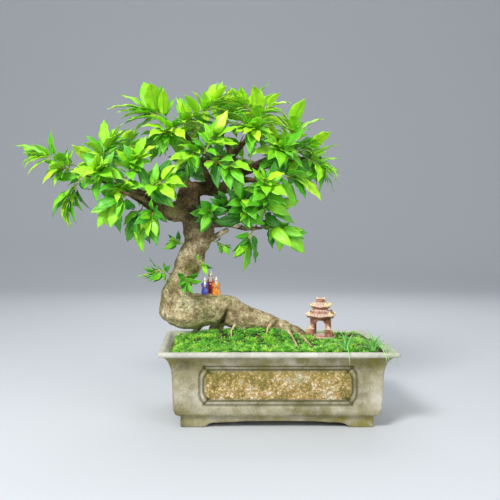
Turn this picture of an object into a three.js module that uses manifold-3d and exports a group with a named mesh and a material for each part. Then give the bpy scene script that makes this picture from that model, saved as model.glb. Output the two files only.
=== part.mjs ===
// Cluster fig bonsai: an old leaning fig trained on one thick sloping trunk, planted in a cast stone
// pot with soil, moss and grass, a small fired clay pavilion and three glazed figures.
// Millimetres. X runs along the pot's front, Y from front to back, Z up. The pieces are made about
// the middle of the pot, on the surface that it stands on, and are moved last, so that the zero point
// is under the middle of the whole.
import * as THREE from 'three';
import { mergeVertices } from 'three/addons/utils/BufferGeometryUtils.js';
import Module from 'manifold-3d';

const wasm = await Module();
wasm.setup();

// Driving dimensions of the pot
const POT_LENGTH = 610;
const POT_DEPTH = 400;
const POT_HEIGHT = 202;
const RIM_WIDTH = 16;
const WALL = 22;
const WAIST_INSET = 34;
const PLINTH_INSET = 56;
const PLINTH_HEIGHT = 31;
const FLOOR_TOP = 53;
const FOOT_LENGTH = 62;
const APRON_THICKNESS = 26;
const APRON_RISE = 16;
const DRAIN_DIAMETER = 24;
const DRAIN_SPACING = 230;
const PANEL_LENGTH = 404;
const PANEL_END_LENGTH = 206;
const PANEL_BOTTOM = 61;
const PANEL_TOP = 164;
const PANEL_NOTCH = 15;
const PANEL_SINK = 2.5;
const PANEL_BAND = 12;
const FIELD_SINK = 6;

// How far a cutting body reaches past the face that it cuts
const OVERCUT = 5;

// Driving dimensions of the planting
const GAP = 0.35;
const SOIL_LEVEL = 197;
const MOUND_HEIGHT = 18;
const LEFT_DIP = 9;
const LUMP_HEIGHT = 1.6;
const THICK_LIMB_RADIUS = 16;
const LEAF_WIDTH_SHARE = 0.42;
const LEAF_RIB = 1.9;
const TWIG_RADIUS = 4.2;
const STEM_RADIUS = 2.9;
const STEM_TIP_RADIUS = 2.1;
const STEM_LENGTH = 95;
const STUB = 9;
const CLEARANCE = 1;
const OWN_WOOD_CLEARANCE = 0.4;
const LEAF_TRIES = 24;
const SMALLER_LEAF_TRIES = 12;
const LEAF_TURN = 2.4;
const FOOT_SPREAD = 74;
const TIP_SPREAD = 28;
const TWIG_CLIMB = 0.16;
const CANOPY_MIDDLE = new THREE.Vector3(-190, 10, 640);
const CANOPY_HALF = new THREE.Vector3(390, 170, 200);
const PAVILION_PLACE = new THREE.Vector3(139, 19, 198);
const PAVILION_TURN = THREE.MathUtils.degToRad(-20);
const SLAB_HALF_X = 38;
const SLAB_HALF_Y = 30;
const SLAB_TOP = 19;
const PILLAR_X = 21;
const PILLAR_Y = 15;
const PILLAR_HALF = 5;
const LOWER_EAVES = 64;
const UPPER_EAVES = 91;
const PIER_X = 26;
const PIER_Y = -22;
const TUFT_CROWN_RADIUS = 6;
const TUFT_HOLE_RADIUS = 7;
const BLADE_HALF_WIDTH = 1.9;
const HANGING_BLADE_LENGTH = 80;
const TUFT_PLACE = new THREE.Vector3(249, -150, 193);

const UP = new THREE.Vector3(0, 0, 1);

// Seeded random numbers from 0 to 1
function draws(seed) {
  let state = (seed * 7919 + 104729) % 2147483647;
  return () => {
    state = (state * 48271) % 2147483647;
    return state / 2147483647;
  };
}

// A closed three.js geometry made into a solid
function solid(geometry) {
  geometry.deleteAttribute('normal');
  geometry.deleteAttribute('uv');
  const merged = mergeVertices(geometry, 1e-4);
  return new wasm.Manifold(new wasm.Mesh({
    numProp: 3,
    vertProperties: new Float32Array(merged.attributes.position.array),
    triVerts: new Uint32Array(merged.index.array),
  }));
}

// A skin through rings of as many points each, closed by a cap or, where a tip is given, by a point
function loft(rings, tip) {
  const corners = [];
  const triangle = (a, b, c) => corners.push(a, b, c);
  const count = rings[0].length;
  for (let r = 0; r < rings.length - 1; r += 1) {
    for (let i = 0; i < count; i += 1) {
      const j = (i + 1) % count;
      triangle(rings[r][i], rings[r][j], rings[r + 1][j]);
      triangle(rings[r][i], rings[r + 1][j], rings[r + 1][i]);
    }
  }
  const first = rings[0];
  const last = rings[rings.length - 1];
  for (let i = 1; i < count - 1; i += 1) {
    triangle(first[0], first[i + 1], first[i]);
  }
  if (tip) {
    for (let i = 0; i < count; i += 1) {
      triangle(last[i], last[(i + 1) % count], tip);
    }
  } else {
    for (let i = 1; i < count - 1; i += 1) {
      triangle(last[0], last[i], last[i + 1]);
    }
  }
  return solid(new THREE.BufferGeometry().setFromPoints(corners));
}

// A box from its lowest and highest corner
function block(low, high) {
  const size = new THREE.Vector3(...high).sub(new THREE.Vector3(...low));
  const middle = new THREE.Vector3(...high).add(new THREE.Vector3(...low)).multiplyScalar(0.5);
  return solid(new THREE.BoxGeometry(...size).translate(...middle));
}

// A flat outline drawn in X and Z, extruded towards +Y
function prism(outline, fromY, toY) {
  const shape = new THREE.Shape(outline.map(([x, z]) => new THREE.Vector2(x, z)));
  const geometry = new THREE.ExtrudeGeometry(shape, { depth: toY - fromY, bevelEnabled: false });
  return solid(geometry.rotateX(Math.PI / 2).translate(0, toY, 0));
}

// The pot: cast stone with a plinth cut into four feet, a battered body and a heavy flared rim
function rectangleRing(halfX, halfY, radius, z) {
  const ring = [];
  const turns = [[1, 1], [-1, 1], [-1, -1], [1, -1]];
  turns.forEach(([sx, sy], corner) => {
    for (let step = 0; step <= 2; step += 1) {
      const angle = (corner + step / 2) * Math.PI / 2;
      const x = sx * (halfX - radius) + radius * Math.cos(angle);
      const y = sy * (halfY - radius) + radius * Math.sin(angle);
      ring.push(new THREE.Vector3(x, y, z));
    }
  });
  return ring;
}

// Inset from the rim, and corner radius, of the pot's outer faces from the ground up
const POT_PROFILE = [
  [PLINTH_INSET, 6, 0],
  [PLINTH_INSET, 6, PLINTH_HEIGHT],
  [48, 8, PLINTH_HEIGHT],
  [41, 9, 36],
  [37.5, 9, 47],
  [WAIST_INSET, 8, 130],
  [33, 8, 144],
  [30, 8, 160],
  [26, 8, 171],
  [21, 8, 179],
  [13.5, 8, 187],
  [3, 8, 188.5],
  [0, 7, 192],
  [0, 7, 199],
  [3, 6, POT_HEIGHT],
];

const CAVITY_RADIUS = 14;

// Inset from the rim of the cavity's walls, which lean in below the rim, up to above the pot
const CAVITY_PROFILE = [
  [PLINTH_INSET + WALL - 13, FLOOR_TOP],
  [WAIST_INSET + WALL, 155],
  [RIM_WIDTH, POT_HEIGHT - 3],
  [RIM_WIDTH - 2, POT_HEIGHT + OVERCUT],
];

function potRing(inset, radius, z) {
  return rectangleRing(POT_LENGTH / 2 - inset, POT_DEPTH / 2 - inset, radius, z);
}

function cavitySolid() {
  return loft(CAVITY_PROFILE.map(([inset, z]) => potRing(inset, CAVITY_RADIUS, z)));
}

// A rectangle with stepped corners, in X and Z
function notchedOutline(length, inset) {
  const x = length / 2 - inset;
  const notch = PANEL_NOTCH;
  const low = PANEL_BOTTOM + inset;
  const high = PANEL_TOP - inset;
  const right = [[x - notch, low], [x - notch, low + notch], [x, low + notch],
    [x, high - notch], [x - notch, high - notch], [x - notch, high]];
  return [...right, ...right.map(([px, pz]) => [-px, pz]).reverse()];
}

// The sunk panel of one side: a flat band round a rough field that is sunk deeper
function panelCut(length, face) {
  const front = -(face + 4 * OVERCUT);
  return prism(notchedOutline(length, 0), front, PANEL_SINK - face)
    .add(prism(notchedOutline(length, PANEL_BAND), front, FIELD_SINK - face));
}

// The arch that lifts the plinth's apron off the ground between two feet
function apronCut(half) {
  const reach = half - FOOT_LENGTH;
  const arch = [[-reach, -OVERCUT], [reach, -OVERCUT], [reach, 0], [reach - 13, 10],
    [reach * 0.5, 14.5], [0, APRON_RISE],
    [-reach * 0.5, 14.5], [-reach + 13, 10], [-reach, 0]];
  return prism(arch, -POT_LENGTH, POT_LENGTH);
}

function potSolid() {
  const plinthX = POT_LENGTH / 2 - PLINTH_INSET;
  const plinthY = POT_DEPTH / 2 - PLINTH_INSET;
  const waistX = POT_LENGTH / 2 - WAIST_INSET;
  const waistY = POT_DEPTH / 2 - WAIST_INSET;
  let pot = loft(POT_PROFILE.map(([inset, radius, z]) => potRing(inset, radius, z)));
  pot = pot.subtract(cavitySolid());
  const hollowX = plinthX - APRON_THICKNESS;
  const hollowY = plinthY - APRON_THICKNESS;
  pot = pot.subtract(block([-hollowX, -hollowY, -OVERCUT], [hollowX, hollowY, PLINTH_HEIGHT]));
  pot = pot.subtract(apronCut(plinthX)).subtract(apronCut(plinthY).rotate([0, 0, 90]));
  for (const side of [0, 180]) {
    pot = pot.subtract(panelCut(PANEL_LENGTH, waistY).rotate([0, 0, side]));
    pot = pot.subtract(panelCut(PANEL_END_LENGTH, waistX).rotate([0, 0, side + 90]));
  }
  for (const side of [-0.5, 0.5]) {
    const drain = new THREE.CylinderGeometry(DRAIN_DIAMETER / 2, DRAIN_DIAMETER / 2, 60, 12);
    drain.rotateX(Math.PI / 2).translate(side * DRAIN_SPACING, 0, FLOOR_TOP - 10);
    pot = pot.subtract(solid(drain));
  }
  return pot;
}

// Level of the soil: low along the left wall, raised into a mound under the trunk
function soilLevel(x, y) {
  const mound = MOUND_HEIGHT * Math.exp(-(((x + 10) / 190) ** 2) - ((y - 25) / 95) ** 2);
  const leftDip = LEFT_DIP * THREE.MathUtils.smoothstep(-x, 170, 285);
  const lumps = LUMP_HEIGHT * Math.sin(x / 23 + 1) * Math.cos(y / 19 + x / 61);
  return SOIL_LEVEL + mound - leftDip + lumps;
}

// Inset from the rim of the cavity's wall at a height above its bend
function wallInset(z) {
  const [, [bendInset, bendZ], [topInset, topZ]] = CAVITY_PROFILE;
  return bendInset + ((topInset - bendInset) * (z - bendZ)) / (topZ - bendZ);
}

// A ring along the cavity's wall, with two more places on each side
function wallRing(inset, z) {
  const ring = potRing(inset, CAVITY_RADIUS, z);
  return ring.flatMap((point, i) => {
    const next = ring[(i + 1) % ring.length];
    const shares = i % 3 === 2 ? [0, 1 / 3, 2 / 3] : [0];
    return shares.map((share) => point.clone().lerp(next, share));
  });
}

const GROUND_MIDDLE = new THREE.Vector3(-10, 20, 0);
const GROUND_RINGS = [1, 0.88, 0.7, 0.48, 0.24];

// The ground's surface, as rings that shrink from the wall to the middle
function groundSheet(gap) {
  const edge = wallRing(RIM_WIDTH + WALL / 2, 0).map((rough, i) => {
    const level = soilLevel(rough.x, rough.y) - 1;
    return wallRing(wallInset(level) + gap, level)[i];
  });
  return GROUND_RINGS.map((share) => edge.map((point) => {
    const spot = GROUND_MIDDLE.clone().lerp(point, share);
    return spot.setZ(share < 1 ? soilLevel(spot.x, spot.y) : point.z);
  }));
}

function groundPeak() {
  return GROUND_MIDDLE.clone().setZ(soilLevel(GROUND_MIDDLE.x, GROUND_MIDDLE.y));
}

// The soil fills the cavity up to its uneven level
function soilSolid(holes) {
  const lower = CAVITY_PROFILE.slice(0, 2).map(([inset, z]) => wallRing(inset + GAP, z + GAP));
  const heap = loft([...lower, ...groundSheet(GAP)], groundPeak());
  return largest(heap.subtract(holes));
}

// The biggest of the bodies that a cut or a join leaves, with any hollow that it seals filled
function largest(body) {
  const bodies = body.decompose();
  return bodies.reduce((best, next) => (next.volume() > best.volume() ? next : best));
}

// The trunk's base runs up from the soil at the right to a swollen heel at the left, as
// [x, y, z, radius]
const TRUNK_BASE = [
  [96, 44, 201, 10], [86, 42, 213, 15], [38, 40, 230, 21], [-8, 38, 243, 28], [-56, 35, 255, 34],
  [-93, 30, 266, 39], [-125, 24, 285, 42], [-150, 20, 290, 43], [-184, 16, 287, 46],
  [-218, 12, 282, 50], [-250, 10, 281, 50], [-282, 9, 283, 42], [-303, 8, 285, 27], [-315, 8, 285, 9],
];
const TRUNK_RISE = [
  [-256, 9, 279, 44], [-265, 7, 307, 47], [-265, 5, 335, 42], [-259, 3, 359, 35], [-248, 1, 383, 34],
  [-236, 0, 409, 38], [-225, 0, 435, 38], [-214, 0, 459, 35], [-205, 0, 481, 38], [-203, 0, 504, 44],
  [-207, 0, 526, 43], [-222, 0, 551, 37], [-233, 0, 576, 34], [-234, 2, 601, 32], [-232, 4, 623, 27],
  [-230, 5, 638, 17], [-230, 5, 645, 6],
];

// The limbs, each from inside the wood that it grows from
const LIMBS = [
  [[-236, 4, 617, 20], [-212, 6, 624, 22], [-184, 10, 625, 19], [-156, 14, 620, 19], [-128, 18, 630, 19],
    [-105, 18, 653, 18], [-97, 12, 680, 16], [-114, 5, 700, 15], [-134, 0, 703, 12]],
  [[-228, 0, 562, 32], [-272, -12, 559, 29], [-315, -32, 569, 22], [-362, -52, 595, 13.5],
    [-427, -58, 628, 9], [-487, -52, 652, 6.5], [-538, -40, 670, 4.4]],
  [[-289, -12, 567, 18], [-344, 50, 601, 11.5], [-423, 110, 645, 7.5], [-488, 150, 684, 5]],
  [[-320, -34, 573, 13.5], [-353, -95, 593, 8], [-404, -150, 606, 4.6]],
  [[-128, 2, 702, 13], [-167, -8, 709, 10.5], [-200, -12, 733, 8.3], [-242, -20, 771, 6],
    [-283, -25, 800, 4.4]],
  [[-124, 2, 700, 13], [-98, -12, 730, 9.4], [-65, -16, 766, 7.2], [-40, -12, 816, 5]],
  [[-100, 15, 667, 13], [-39, 5, 682, 10], [24, -5, 698, 7.2], [85, -10, 709, 4.7]],
  [[-106, 18, 655, 14], [-50, 85, 696, 9.3], [14, 150, 733, 5.4]],
  [[-103, 8, 691, 13], [-120, 75, 753, 9.3], [-158, 130, 820, 5.4]],
  [[-106, 17, 651, 14], [-64, -45, 645, 8.2], [-26, -110, 634, 4.7]],
  [[-167, 12, 623, 14], [-184, -45, 667, 8.2], [-194, -110, 697, 4.7]],
  [[-206, 0, 520, 25], [-159, -8, 529, 14], [-123, -20, 526, 9.6], [-74, -35, 512, 6],
    [-31, -45, 514, 4.4]],
];

// Roots that leave the base for the soil, the thin ones through the air
const ROOTS = [
  [[-85, 30, 255, 25], [-80, 22, 219, 18], [-72, 16, 177, 12]],
  [[-127, 50, 267, 20], [-158, 75, 232, 16], [-181, 95, 182, 11]],
  [[-4, 22, 244, 17], [19, 0, 222, 8], [32, -15, 185, 6]],
  [[9, 14, 257, 7], [-13, -18, 241, 4], [-20, -34, 219, 3.6], [-29, -50, 187, 3]],
  [[71, 35, 217, 12], [88, -30, 208, 5.5], [99, -100, 196, 3.7], [105, -125, 183, 3]],
  [[42, 30, 227, 14], [54, -35, 211, 5], [60, -110, 196, 3.4], [65, -135, 183, 2.8]],
  [[78, 42, 215, 12], [92, 68, 208, 6.8], [110, 88, 183, 4.5]],
  [[46, 55, 229, 15], [86, 100, 219, 9], [126, 135, 189, 6]],
  [[-128, 2, 257, 6], [-145, -38, 236, 3.6], [-138, -52, 193, 3]],
  [[-100, 4, 249, 6], [-115, -30, 232, 3.6], [-113, -46, 189, 3]],
  [[-187, 36, 257, 14], [-213, 62, 222, 10], [-236, 80, 177, 7]],
];

function pointOn(stations, share) {
  const curve = new THREE.CatmullRomCurve3(
    stations.map(([x, y, z]) => new THREE.Vector3(x, y, z)), false, 'catmullrom');
  const last = stations.length - 1;
  const index = Math.min(Math.floor(share * last), last - 1);
  const within = share * last - index;
  const radius = stations[index][3] * (1 - within) + stations[index + 1][3] * within;
  return { point: curve.getPoint(share), tangent: curve.getTangent(share), radius };
}

// Round sections with low lobes along a run of places, turned without twist
function sections(places, sides, grow, lobe) {
  let across = new THREE.Vector3(0.3, -1, 0.2);
  return places.map(({ point, tangent, radius }, row) => {
    across = across.clone().addScaledVector(tangent, -across.dot(tangent)).normalize();
    const beside = tangent.clone().cross(across);
    const inner = row > 0 && row < places.length - 1;
    return Array.from({ length: sides }, (_, i) => {
      const angle = (i / sides) * Math.PI * 2;
      const swell = Math.sin(3 * angle + row * 0.9) + 0.6 * Math.sin(2 * angle - row * 1.7 + 2);
      const r = radius * (1 + (inner ? lobe * swell : 0)) + grow;
      return point.clone().addScaledVector(across, r * Math.cos(angle))
        .addScaledVector(beside, r * Math.sin(angle));
    });
  });
}

function branch(stations, sides, stepsEach, grow = 0, lobe = 0) {
  const steps = (stations.length - 1) * stepsEach;
  const places = Array.from({ length: steps + 1 }, (_, i) => pointOn(stations, i / steps));
  return loft(sections(places, sides, grow, lobe));
}

function baseSolid(grow) {
  const parts = [branch(TRUNK_BASE, 12, 1, grow, 0.05), branch(TRUNK_RISE, 12, 1, grow, 0.05)];
  ROOTS.forEach((root) => parts.push(branch(root, 5, 1, grow)));
  return wasm.Manifold.union(parts);
}

// The heart of each leafy spray, its number of leaves and their length: [x, y, z, leaves, length]
const SPRAYS = [
  [-585, -40, 677, 8, 85], [-560, -35, 586, 8, 82], [-460, -120, 662, 8, 83], [-440, -30, 747, 9, 88],
  [-345, -15, 832, 8, 111], [-365, -100, 692, 8, 82], [-435, -90, 572, 8, 80], [-370, -50, 527, 7, 87],
  [-290, -125, 637, 8, 78], [-290, -70, 767, 8, 83], [-230, -30, 817, 9, 88], [-160, -20, 857, 8, 91],
  [-90, -20, 856, 9, 92], [-20, -25, 842, 8, 91], [50, -20, 792, 8, 91], [-60, -100, 772, 8, 84],
  [-160, -110, 752, 8, 84], [-225, -130, 702, 8, 78], [10, -95, 722, 8, 87], [105, -30, 732, 8, 85],
  [130, -20, 682, 8, 85], [70, -75, 647, 8, 83], [-30, -130, 637, 8, 78], [-80, -85, 587, 8, 80],
  [-10, -60, 572, 7, 89], [30, -40, 512, 6, 90], [-70, -50, 477, 5, 76], [-175, -65, 562, 6, 75],
  [-125, -30, 577, 6, 77], [-265, -25, 482, 4, 55], [-320, -15, 397, 5, 61], [-238, -68, 375, 4, 49],
  [-190, -60, 420, 3, 44], [-138, -8, 469, 3, 42],
  [-520, 120, 702, 7, 92], [-430, 160, 757, 7, 94], [-355, 120, 627, 7, 89], [-320, 90, 772, 7, 90],
  [-220, 120, 802, 7, 92], [-125, 110, 850, 7, 92], [-35, 120, 842, 7, 95], [38, 130, 760, 7, 92],
  [-5, 120, 652, 7, 89], [-125, 170, 722, 7, 94], [100, 80, 707, 7, 90], [-240, 160, 687, 7, 91],
  [-125, -125, 672, 7, 84], [-638, -25, 712, 8, 86], [-405, -105, 622, 8, 82], [-332, -85, 545, 7, 80],
  [-158, 55, 705, 7, 88],
];

// Places along the living wood that a twig may start from
const WOOD = [TRUNK_RISE, ...LIMBS].flatMap((stations) => {
  const steps = (stations.length - 1) * 4;
  return Array.from({ length: steps + 1 }, (_, i) => pointOn(stations, i / steps));
});

// The wood that leaves room for a stem, nearest first. Wood above the heart counts as further off,
// because twigs climb.
function rootsOf(heart, room) {
  const cost = ({ point }) => point.distanceTo(heart) + 0.6 * Math.max(0, point.z - heart.z);
  const far = WOOD.filter(({ point, radius }) => point.distanceTo(heart) > radius + STUB + room);
  return far.sort((a, b) => cost(a) - cost(b)).slice(0, 8);
}

// A body for the clearance test: its points, its own axes, and how much thicker than them it is
function hull(points, axes, pad) {
  const centre = points.reduce((sum, point) => sum.add(point), new THREE.Vector3());
  centre.divideScalar(points.length);
  const reach = Math.max(...points.map((point) => point.distanceTo(centre))) + pad;
  return { points, axes, pad, centre, reach };
}

function span(body, axis) {
  const along = body.points.map((point) => point.dot(axis));
  return [Math.min(...along) - body.pad, Math.max(...along) + body.pad];
}

// Two bodies are apart where some axis shows at least the clearance between them
function apart(a, b, clearance) {
  const between = b.centre.clone().sub(a.centre);
  if (between.length() > a.reach + b.reach + clearance) {
    return true;
  }
  const crosses = a.axes.flatMap((one) => b.axes.map((other) => one.clone().cross(other)));
  return [between, ...a.axes, ...b.axes, ...crosses].some((axis) => {
    if (axis.length() < 0.05) {
      return false;
    }
    const unit = axis.clone().normalize();
    const [lowA, highA] = span(a, unit);
    const [lowB, highB] = span(b, unit);
    return lowB - highA > clearance || lowA - highB > clearance;
  });
}

// The straight pieces of a run of places, as bodies
function rods(places) {
  return places.slice(1).map((place, i) => {
    const from = places[i].point;
    const axis = place.point.clone().sub(from).normalize();
    return hull([from, place.point], [axis], (place.radius + places[i].radius) / 2);
  });
}

// The figures on the trunk's level stretch: name, place of the middle of the robe, height and width
const FIGURES = [
  ['figure_blue', [-187, 10, 335], 43, 21],
  ['figure_red', [-171, 36, 330], 65, 20],
  ['figure_orange', [-155, 10, 335], 43, 24],
];
const FIGURE_RODS = FIGURES.map(([, place, height, width]) => {
  const low = new THREE.Vector3(...place);
  return hull([low, low.clone().setZ(low.z + height)], [UP], width * 0.55);
});

const WOOD_RODS = [TRUNK_BASE, TRUNK_RISE, ...LIMBS].flatMap((stations) => {
  const steps = (stations.length - 1) * 2;
  return rods(Array.from({ length: steps + 1 }, (_, i) => pointOn(stations, i / steps)));
});

// A twig climbs from the wood to its heart: the lower part is wood, the rest is the spray's stem
function twigPath(heart, root, bend) {
  const length = root.point.distanceTo(heart);
  const side = heart.clone().sub(root.point).cross(UP).normalize();
  const control = root.point.clone().add(heart).multiplyScalar(0.5);
  control.addScaledVector(UP, TWIG_CLIMB * length).addScaledVector(side, bend * length);
  const curve = new THREE.QuadraticBezierCurve3(root.point, control, heart);
  const split = Math.max(root.radius + STUB, length - STEM_LENGTH) / length;
  const at = (share, radius) => (
    { point: curve.getPoint(share), tangent: curve.getTangent(share), radius });
  const thick = Math.min(TWIG_RADIUS, root.radius * 0.8);
  const wood = [0, 0.5, 1].map((share) => at(share * split, thick + (STEM_RADIUS - thick) * share));
  const start = split + GAP / length;
  const stem = [0, 0.5, 1].map((share) => (
    at(start + (1 - start) * share, STEM_RADIUS + (STEM_TIP_RADIUS - STEM_RADIUS) * share)));
  return { curve, split, wood, stem };
}

// Each twig takes another root or a sideways bend until its stem is clear of the wood and of the
// stems before it
const BENDS = [0, 0.12, -0.12, 0.24, -0.24, 0.36, -0.36];

function twigs() {
  const made = [];
  for (const [x, y, z, , leafLength] of SPRAYS) {
    const heart = new THREE.Vector3(x, y, z);
    const roots = rootsOf(heart, 0.32 * leafLength);
    const paths = BENDS.flatMap((bend) => roots.map((root) => twigPath(heart, root, bend)));
    const found = paths.find((path) => {
      const stem = rods(path.stem);
      const wood = rods(path.wood);
      const clear = (some, others) => some.every((piece) => (
        others.every((rod) => apart(piece, rod, CLEARANCE))));
      return clear(stem, WOOD_RODS) && made.every((other) => (
        clear(stem, other.stemRods) && clear(stem, other.woodRods) && clear(wood, other.stemRods)));
    });
    const path = found ?? paths[0];
    made.push({ ...path, stemRods: rods(path.stem), woodRods: rods(path.wood) });
  }
  return made;
}

// A leaf: flat above and keeled below, arched, widest at a third of its length, with a drawn-out tip.
// It starts as an upright edge on the stem's axis.
const LEAF_RINGS = [[0.36, 1], [0.7, 0.66]];

function leafAt(base, direction, up, length, width, arch) {
  const side = direction.clone().cross(up);
  const place = (share, across, lift) => {
    const turn = arch * share;
    const along = (length * Math.sin(turn)) / arch;
    const drop = (length * (1 - Math.cos(turn))) / arch;
    const normal = up.clone().multiplyScalar(Math.cos(turn))
      .addScaledVector(direction, Math.sin(turn));
    return base.clone().addScaledVector(direction, along).addScaledVector(up, -drop)
      .addScaledVector(side, across).addScaledVector(normal, lift);
  };
  const rings = LEAF_RINGS.map(([share, wide]) => (
    [place(share, 0, -LEAF_RIB), place(share, (width / 2) * wide, 0),
      place(share, (-width / 2) * wide, 0)]));
  const foot = [place(0, 0, -LEAF_RIB / 3), place(0, 0, LEAF_RIB / 3)];
  const tip = place(1, 0, 0);
  const axes = [direction, up, side];
  return {
    rings,
    foot,
    tip,
    whole: hull([...foot, ...rings.flat(), tip], axes, 0),
    blade: hull([...rings.flat(), tip, place(0.22, 0, -1)], axes, 0),
  };
}

function leafSolid({ rings, foot, tip }) {
  const [[keelA, rightA, leftA], [keelB, rightB, leftB]] = rings;
  const [low, high] = foot;
  const faces = [
    high, rightA, leftA, low, high, leftA, low, leftA, keelA, low, keelA, rightA, low, rightA, high,
    leftA, rightA, rightB, leftA, rightB, leftB, keelA, leftA, leftB, keelA, leftB, keelB,
    rightA, keelA, keelB, rightA, keelB, rightB,
    leftB, rightB, tip, keelB, leftB, tip, rightB, keelB, tip,
  ];
  return solid(new THREE.BufferGeometry().setFromPoints(faces));
}

// Leaves stand round a stem by the golden angle, spread wide at its foot and narrow at its tip
function leafTry(twig, spray, index, count, length, attempt) {
  const random = draws(spray * 5000 + index * 100 + attempt + 1);
  const order = count > 1 ? index / (count - 1) : 0;
  const share = twig.split + (1 - twig.split) * (0.14 + 0.84 * order ** 0.8);
  const base = twig.curve.getPoint(share);
  const axis = twig.curve.getTangent(share);
  const beside = axis.clone().cross(UP).normalize();
  const above = beside.clone().cross(axis);
  const roll = LEAF_TURN * index + spray + 0.8 * (random() - 0.5) + 0.55 * attempt;
  const opening = FOOT_SPREAD + (TIP_SPREAD - FOOT_SPREAD) * order + 16 * (random() - 0.5);
  const spread = THREE.MathUtils.degToRad(opening);
  const outward = base.clone().sub(CANOPY_MIDDLE).divide(CANOPY_HALF).divide(CANOPY_HALF).normalize();
  const hang = THREE.MathUtils.mapLinear(base.z, 500, 850, -0.38, 0.16);
  const direction = axis.clone().multiplyScalar(Math.cos(spread))
    .addScaledVector(beside, Math.sin(spread) * Math.cos(roll))
    .addScaledVector(above, Math.sin(spread) * Math.sin(roll))
    .addScaledVector(outward, 0.4).addScaledVector(UP, hang).normalize();
  const up = new THREE.Vector3(random() - 0.5, random() - 0.5, 0).multiplyScalar(0.5)
    .addScaledVector(UP, 0.5).addScaledVector(outward, 0.85);
  up.addScaledVector(direction, -up.dot(direction)).normalize();
  const grown = length * (0.82 + 0.34 * random()) * (attempt < SMALLER_LEAF_TRIES ? 1 : 0.75);
  const width = grown * LEAF_WIDTH_SHARE * (0.88 + 0.24 * random());
  return leafAt(base, direction, up, grown, width, 0.35 + 0.6 * random());
}

function foliage(twigList) {
  const leaves = twigList.map(() => []);
  const most = Math.max(...SPRAYS.map((row) => row[3]));
  for (let index = 0; index < most; index += 1) {
    twigList.forEach((twig, spray) => {
      const [, , , count, length] = SPRAYS[spray];
      if (index >= count) {
        return;
      }
      for (let attempt = 0; attempt < LEAF_TRIES; attempt += 1) {
        const leaf = leafTry(twig, spray, index, count, length, attempt);
        const clearOfWood = [...WOOD_RODS, ...FIGURE_RODS].every((rod) => (
          apart(leaf.whole, rod, CLEARANCE)));
        const clearOfTwigs = clearOfWood && twigList.every((other) => (
          other === twig
            ? other.stemRods.every((rod) => apart(leaf.blade, rod, 0))
              && other.woodRods.every((rod) => apart(leaf.whole, rod, OWN_WOOD_CLEARANCE))
            : [...other.stemRods, ...other.woodRods].every((rod) => (
              apart(leaf.whole, rod, CLEARANCE)))));
        const clear = clearOfTwigs && leaves.every((others, other) => others.every((next) => (
          other === spray
            ? apart(leaf.blade, next.blade, 0)
            : apart(leaf.whole, next.whole, CLEARANCE))));
        if (clear) {
          leaves[spray].push(leaf);
          break;
        }
      }
    });
  }
  return leaves;
}

function spraySolid(twig, leaves) {
  const stem = loft(sections(twig.stem, 3, 0, 0));
  return largest(wasm.Manifold.union([stem, ...leaves.map(leafSolid)]));
}

function trunkSolid(twigList) {
  const parts = [baseSolid(0)];
  LIMBS.forEach((limb) => {
    const sides = limb[0][3] > THICK_LIMB_RADIUS ? 8 : 6;
    parts.push(branch(limb, sides, 1, 0, 0.03));
  });
  twigList.forEach((twig) => parts.push(loft(sections(twig.wood, 3, 0, 0))));
  return largest(wasm.Manifold.union(parts));
}

// The pavilion: fired clay, two hipped roofs on four pillars, on a slab with two low piers.
// It is made about its own middle, from the ground up.
function roofSolid(length, depth, low, rise, topLength, topDepth, lift) {
  const turns = [[1, 0], [1, 1], [0, 1], [-1, 1], [-1, 0], [-1, -1], [0, -1], [1, -1]];
  const ring = (halfX, halfY, z, corner) => turns.map(([sx, sy]) => (
    new THREE.Vector3(sx * halfX, sy * halfY, z + (sx && sy ? corner : 0))));
  return loft([
    ring(topLength / 2, topDepth / 2, low, 0),
    ring(length / 2 - 2, depth / 2 - 2, low, lift * 0.7),
    ring(length / 2, depth / 2, low + 4, lift),
    ring(length * 0.36, depth * 0.36, low + rise * 0.55, lift * 0.3),
    ring(topLength / 2, topDepth / 2, low + rise, 0),
  ]);
}

function pavilionSolid() {
  const stepX = SLAB_HALF_X - 4;
  const stepY = SLAB_HALF_Y - 4;
  const parts = [
    block([-SLAB_HALF_X, -SLAB_HALF_Y, 0], [SLAB_HALF_X, SLAB_HALF_Y, 12]),
    block([-stepX, -stepY, 11], [stepX, stepY, SLAB_TOP]),
    roofSolid(72, 56, LOWER_EAVES, 22, 50, 38, 5),
    block([-18, -13, 80], [18, 13, UPPER_EAVES + 2]),
    roofSolid(50, 38, UPPER_EAVES, 17, 25, 18, 4),
  ];
  const cap = [[-14, 101], [14, 101], [10, 119], [-10, 119]];
  parts.push(prism(cap, -9, 9));
  for (const sx of [-1, 1]) {
    for (const sy of [-1, 1]) {
      const x = sx * PILLAR_X;
      const y = sy * PILLAR_Y;
      parts.push(block([x - PILLAR_HALF, y - PILLAR_HALF, SLAB_TOP - 1],
        [x + PILLAR_HALF, y + PILLAR_HALF, LOWER_EAVES + 2]));
      parts.push(solid(new THREE.OctahedronGeometry(4.6).translate(sx * 34.5, sy * 26.5, 75)));
      parts.push(solid(new THREE.OctahedronGeometry(4.2).translate(sx * 23.5, sy * 17.5, 100.5)));
    }
    const ball = new THREE.SphereGeometry(6, 6, 4).translate(sx * PIER_X, PIER_Y, 37);
    parts.push(block([-11, -6, SLAB_TOP - 1], [11, 6, 36]).translate([sx * PIER_X, PIER_Y, 0]));
    parts.push(solid(ball));
  }
  // Arched lintels between the pillars, front and back
  const top = LOWER_EAVES + 2;
  const arch = [[-22, top], [-22, 47], [-16, 47], [-8, 57.5], [8, 57.5], [16, 47], [22, 47], [22, top]];
  parts.push(prism(arch, -PILLAR_Y - 2, -PILLAR_Y + 2), prism(arch, PILLAR_Y - 2, PILLAR_Y + 2));
  return wasm.Manifold.union(parts);
}

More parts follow.
